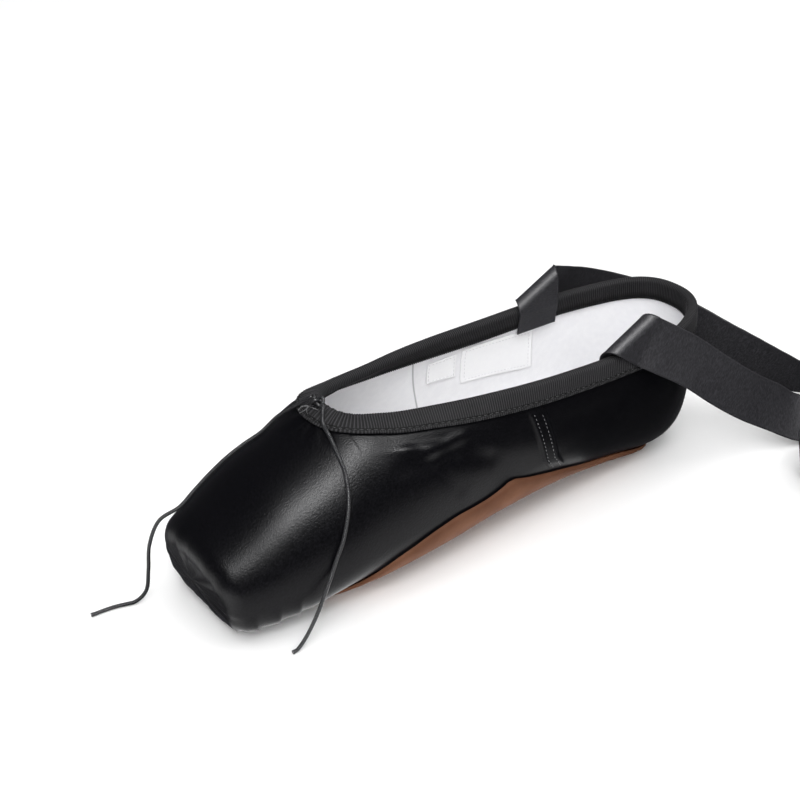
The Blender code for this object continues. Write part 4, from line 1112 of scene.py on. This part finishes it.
def tipped(points):
    """A sole-shaped grid with its middle on the centre plane and its two ends drawn to points."""
    points[:, 0, 0] = 0
    points[0] = points[0, 0]
    points[-1] = points[-1, 0]
    return points


def sole_halves(grid, low, high):
    """Both halves of a sole between two lifts off the last, cut flat where it would go through the floor."""
    along, angle, share = grid
    base, normal = last(along, angle), outward(along, angle)
    bottom, top = (tipped(base + lift[..., None] * normal) for lift in (low, high))
    bottom[..., 2] = np.maximum(bottom[..., 2], 0)
    half = shell(bottom, top, coordinates(station(along)[0], girth(along, angle), share))
    return [half, other_side(half)]


def make_outsole(leather):
    """The leather outsole: full under the foot, skived thin and rounded at its edge, flat where it stands."""
    grid = sole_grid(SOLE_FRONT, LENGTH - SOLE_BACK, 200, 40, SOLE_WIDTH)
    skive = SOLE_THICKNESS * (1 - (1 - SOLE_EDGE / SOLE_THICKNESS) * grid[2] ** 4)
    rounded = np.clip((1 - grid[2]) / 0.03, 0, 1) ** 0.5
    rest = SEAT_GAP + 0 * grid[0]
    halves = sole_halves(grid, rest + skive * (0.35 + 0.65 * rounded), rest)
    piece("leather_outsole", halves, leather, ["outsole"], 60)


def make_insole(cotton):
    """The covered insole board, with a soft rolled edge."""
    grid = sole_grid(INSOLE_MARGIN, LENGTH - INSOLE_MARGIN, 160, 28, INSOLE_WIDTH)
    rest = wall(grid[0]) + SEAT_GAP + GAP
    rounded = np.clip((1 - grid[2]) / 0.06, 0, 1) ** 0.5
    halves = sole_halves(grid, -rest, -(rest + INSOLE_THICKNESS * (0.3 + 0.7 * rounded)))
    piece("covered_insole", halves, cotton, ["insole"])


def border(grid, inset):
    """The points of a grid in one ring round it, this many rows and columns in."""
    grid = grid[inset:-inset, inset:-inset]
    return np.concatenate([grid[:, 0], grid[-1], grid[::-1, -1], grid[0, ::-1]])


def make_label(row, cloth_tape, thread):
    """A bare woven label on the far wall, with turned ends that stand a little proud and a stitched
    border."""
    name, front, back, foot, head, fall = row
    u = np.linspace(0, 1, 60)[:, None]
    v = np.linspace(0, 1, 36)[None, :]
    along = along_at(LENGTH * (front + (back - front) * u)) + 0 * v
    angle = np.radians(foot + (head - foot) * v - fall * u)
    hem = np.maximum(falling(u, 0.03) + falling(1 - u, 0.03), falling(v, 0.04) + falling(1 - v, 0.04))
    rest = wall(along) + GAP
    depth = rest + LABEL_THICKNESS * (0.7 + 0.3 * hem) + LABEL_WAVE * np.cos(7 * u + 3 * v)
    facing = -outward(along, angle)
    outer = last(along, angle) + rest[..., None] * facing
    inner = last(along, angle) + depth[..., None] * facing
    cloth = coordinates(LENGTH * (back - front) * u, girth(along, angle))
    piece(name + "_cloth", [other_side(shell(outer, inner, cloth))], cloth_tape, [name])
    facing = border(facing, 3) * [-1, 1, 1]
    path = border(inner, 3) * [-1, 1, 1] + LABEL_THREAD_CLEAR * facing
    row_of = along_path(path, facing, LABEL_STITCH, LABEL_STITCH_LENGTH, LABEL_THREAD / 2)
    piece(name + "_stitches", [row_of], thread)


def make_ribbon(name, side, sewn_at, rows, satin):
    """One ankle ribbon as a thin satin sheet with corded selvedges, sewn inside the collar and rolled
    over it."""
    points = ribbon_points(side, sewn_at, rows, *RIBBON_ROWS, RIBBON_COLUMNS)
    run = run_of(points.mean(axis=1))
    across = np.linspace(-1, 1, points.shape[1])
    normal = unit(np.cross(np.gradient(points, axis=0), np.gradient(points, axis=1)))
    selvedge = falling(1 - np.abs(across), SELVEDGE_WIDTH)
    ripple = SELVEDGE_RIPPLE * np.cos(2 * np.pi * run / SELVEDGE_PITCH)[:, None] * selvedge
    half = (RIBBON_SHEET + SELVEDGE_RISE * selvedge + ripple)[..., None] * normal
    cloth = coordinates(run[:, None], across[None, :] * RIBBON_WIDTH / 2, np.abs(across)[None, :])
    made = piece(name + "_satin", [shell(points + half, points - half, cloth)], satin, [name])


def make_drawstring(name, side, rows, drop, finish):
    """One end of the elastic drawstring, lying where its solid lies."""
    path = smooth_path(cord_route(side, rows, drop), CORD_POINTS)
    radius = np.full(len(path), CORD_DIAMETER / 2)
    radius[-len(CORD_FLARE):] *= CORD_FLARE
    path[:, 2] = np.maximum(path[:, 2], radius)
    cord = tube(path, radius, CORD_SIDES, cut_end=True)
    return piece(name + "_elastic", [cord], finish, [name]), path


def make_knot(finish):
    """The drawstring's knot: a trefoil of the cord, pulled tight in the lump that its solid fills."""
    t = np.linspace(0, 2 * np.pi, 160)
    loop = np.stack([np.sin(t) + 2 * np.sin(2 * t), np.cos(t) - 2 * np.cos(2 * t), -np.sin(3 * t)], axis=-1)
    thick = CORD_DIAMETER * KNOT_CORD
    reach = KNOT_SIZE / 2 - thick
    path = knot_center() + loop / 3 * reach * [1.0, 0.9, 1.5]
    made = tube(path, thick, 12, reference=unit(loop * [1, 1, 0.2]))
    return piece("drawstring_knot_elastic", [made], finish, ["drawstring_knot"])


def make_frayed_threads(thread):
    """A few cut thread ends that stand out of the gathered throat under the knot."""
    base = knot_center() + [0, -0.0035, -0.0012]
    threads = []
    for turn, reach, curl in FRAYS:
        t = np.linspace(0, 1, 24)
        heading = np.radians(turn + 70 * curl * t)
        steps = np.stack([np.sin(heading), -np.cos(heading), 0.25 - 0.9 * t], axis=-1) * reach / 24000
        threads.append(tube(base + np.cumsum(steps, axis=0), FINE_THREAD / 2, 6))
    piece("throat_threads", threads, thread)


def place_camera():
    """The photograph's angle: an eye on a sphere about the target, turned by azimuth and elevation."""
    turn, rise = np.radians(CAMERA_AZIMUTH), np.radians(CAMERA_ELEVATION)
    back = np.array([np.cos(rise) * np.sin(turn), -np.cos(rise) * np.cos(turn), np.sin(rise)])
    camera = put("photo_camera", bpy.data.cameras.new("photo_camera"))
    camera.location = CAMERA_TARGET + CAMERA_DISTANCE * back
    camera.rotation_euler = (np.pi / 2 - rise, 0, turn)
    camera.data.lens = CAMERA_LENS
    camera.data.sensor_width = 36
    camera.data.shift_x, camera.data.shift_y = CAMERA_SHIFT
    camera.data.clip_start = 0.01
    bpy.context.scene.camera = camera


def softbox(name, direction, distance, width, height, power, aim, rays):
    """A rectangular area light at a distance along a direction from its aim, facing it."""
    light = bpy.data.lights.new(name, "AREA")
    light.shape = "RECTANGLE"
    light.size, light.size_y = width, height
    light.energy = power
    made = put(name, light)
    toward = unit(np.array(direction, float))
    side = unit(np.cross([0, 1, 0.001], toward))
    turned = np.eye(4)
    turned[:3, :3] = np.stack([side, np.cross(toward, side), toward], axis=1)
    turned[:3, 3] = np.array(aim) + distance * toward
    made.matrix_world = Matrix(turned.tolist())
    made.visible_camera = False
    made.visible_glossy = rays == "gloss"
    made.visible_diffuse = rays == "matte"


def make_studio():
    """A white floor, a dim world and soft boxes placed where the satin's highlights need them."""
    scene = bpy.context.scene
    scene.view_settings.view_transform = "Standard"
    mesh = bpy.data.meshes.new("floor")
    turns = [(-1, -1), (1, -1), (1, 1), (-1, 1)]
    corners = [(x * FLOOR_REACH, y * FLOOR_REACH, FLOOR_HEIGHT) for x, y in turns]
    mesh.from_pydata(corners, [], [(0, 1, 2, 3)])
    floor = put("floor", mesh)
    paper = Finish("studio_floor", (0.93, 0.93, 0.93), 0.9, {"Specular IOR Level": 0.1})
    mesh.materials.append(paper.material)
    floor.visible_glossy = False
    world = bpy.data.worlds.new("studio")
    world.use_nodes = True
    background = world.node_tree.nodes["Background"].inputs
    background["Color"].default_value = (1, 1, 1, 1)
    background["Strength"].default_value = WORLD_LIGHT
    scene.world = world
    for light in LIGHTS:
        softbox(*light)


place_camera()
elastic = cord_finish()
cords = [
    ("drawstring_end_left", 1, CORD_LEFT, DROP_LEFT),
    ("drawstring_end_right", -1, CORD_RIGHT, DROP_RIGHT),
]
knot = make_knot(elastic)
for name, side, rows, drop in cords:
    cord, path = make_drawstring(name, side, rows, drop, elastic)
    length = float(round(run_of(path)[-1], 4))

satin = satin_finish(
    "black_satin", (0.0008, 0.0008, 0.0013), (0.0030, 0.0029, 0.0042), along=1500, across=2200, gloss=0.09,
    rough=0.20)
ribbon_satin = satin_finish(
    "charcoal_satin", (0.010, 0.0098, 0.012), (0.026, 0.025, 0.030), along=2600, across=700, gloss=0.26,
    rough=0.40)
tape = tape_finish()
leather = leather_finish()
cotton = woven_finish(
    "lining_cotton", (0.93, 0.93, 0.945), (0.84, 0.84, 0.865), pitch=0.00045, seam=LINING_SEAM)
board_cover = woven_finish("insole_cotton", (0.90, 0.89, 0.88), (0.78, 0.77, 0.76), pitch=0.0006)
label_tape = woven_finish("label_tape", (0.97, 0.97, 0.975), (0.92, 0.92, 0.935), pitch=0.0003)
black_thread = thread_finish("black_thread", (0.004, 0.004, 0.005), (0.020, 0.020, 0.022))
seam_thread = thread_finish("seam_thread", (0.05, 0.05, 0.055), (0.22, 0.22, 0.23))
white_thread = thread_finish("white_thread", (0.62, 0.62, 0.64), (0.80, 0.80, 0.82))
grey_thread = thread_finish("grey_thread", (0.03, 0.03, 0.032), (0.11, 0.11, 0.115))

make_upper(satin)
make_lining(cotton)
make_binding(tape)
make_binding_stitches(black_thread)
make_seam_stitches(seam_thread)
make_outsole(leather)
make_insole(board_cover)
for label in LABELS:
    make_label(label, label_tape, white_thread)
make_frayed_threads(grey_thread)
make_ribbon("ribbon_left", 1, RIBBON_SEWN_LEFT, RIBBON_LEFT, ribbon_satin)
make_ribbon("ribbon_right", -1, RIBBON_SEWN_RIGHT, RIBBON_RIGHT, ribbon_satin)
make_studio()
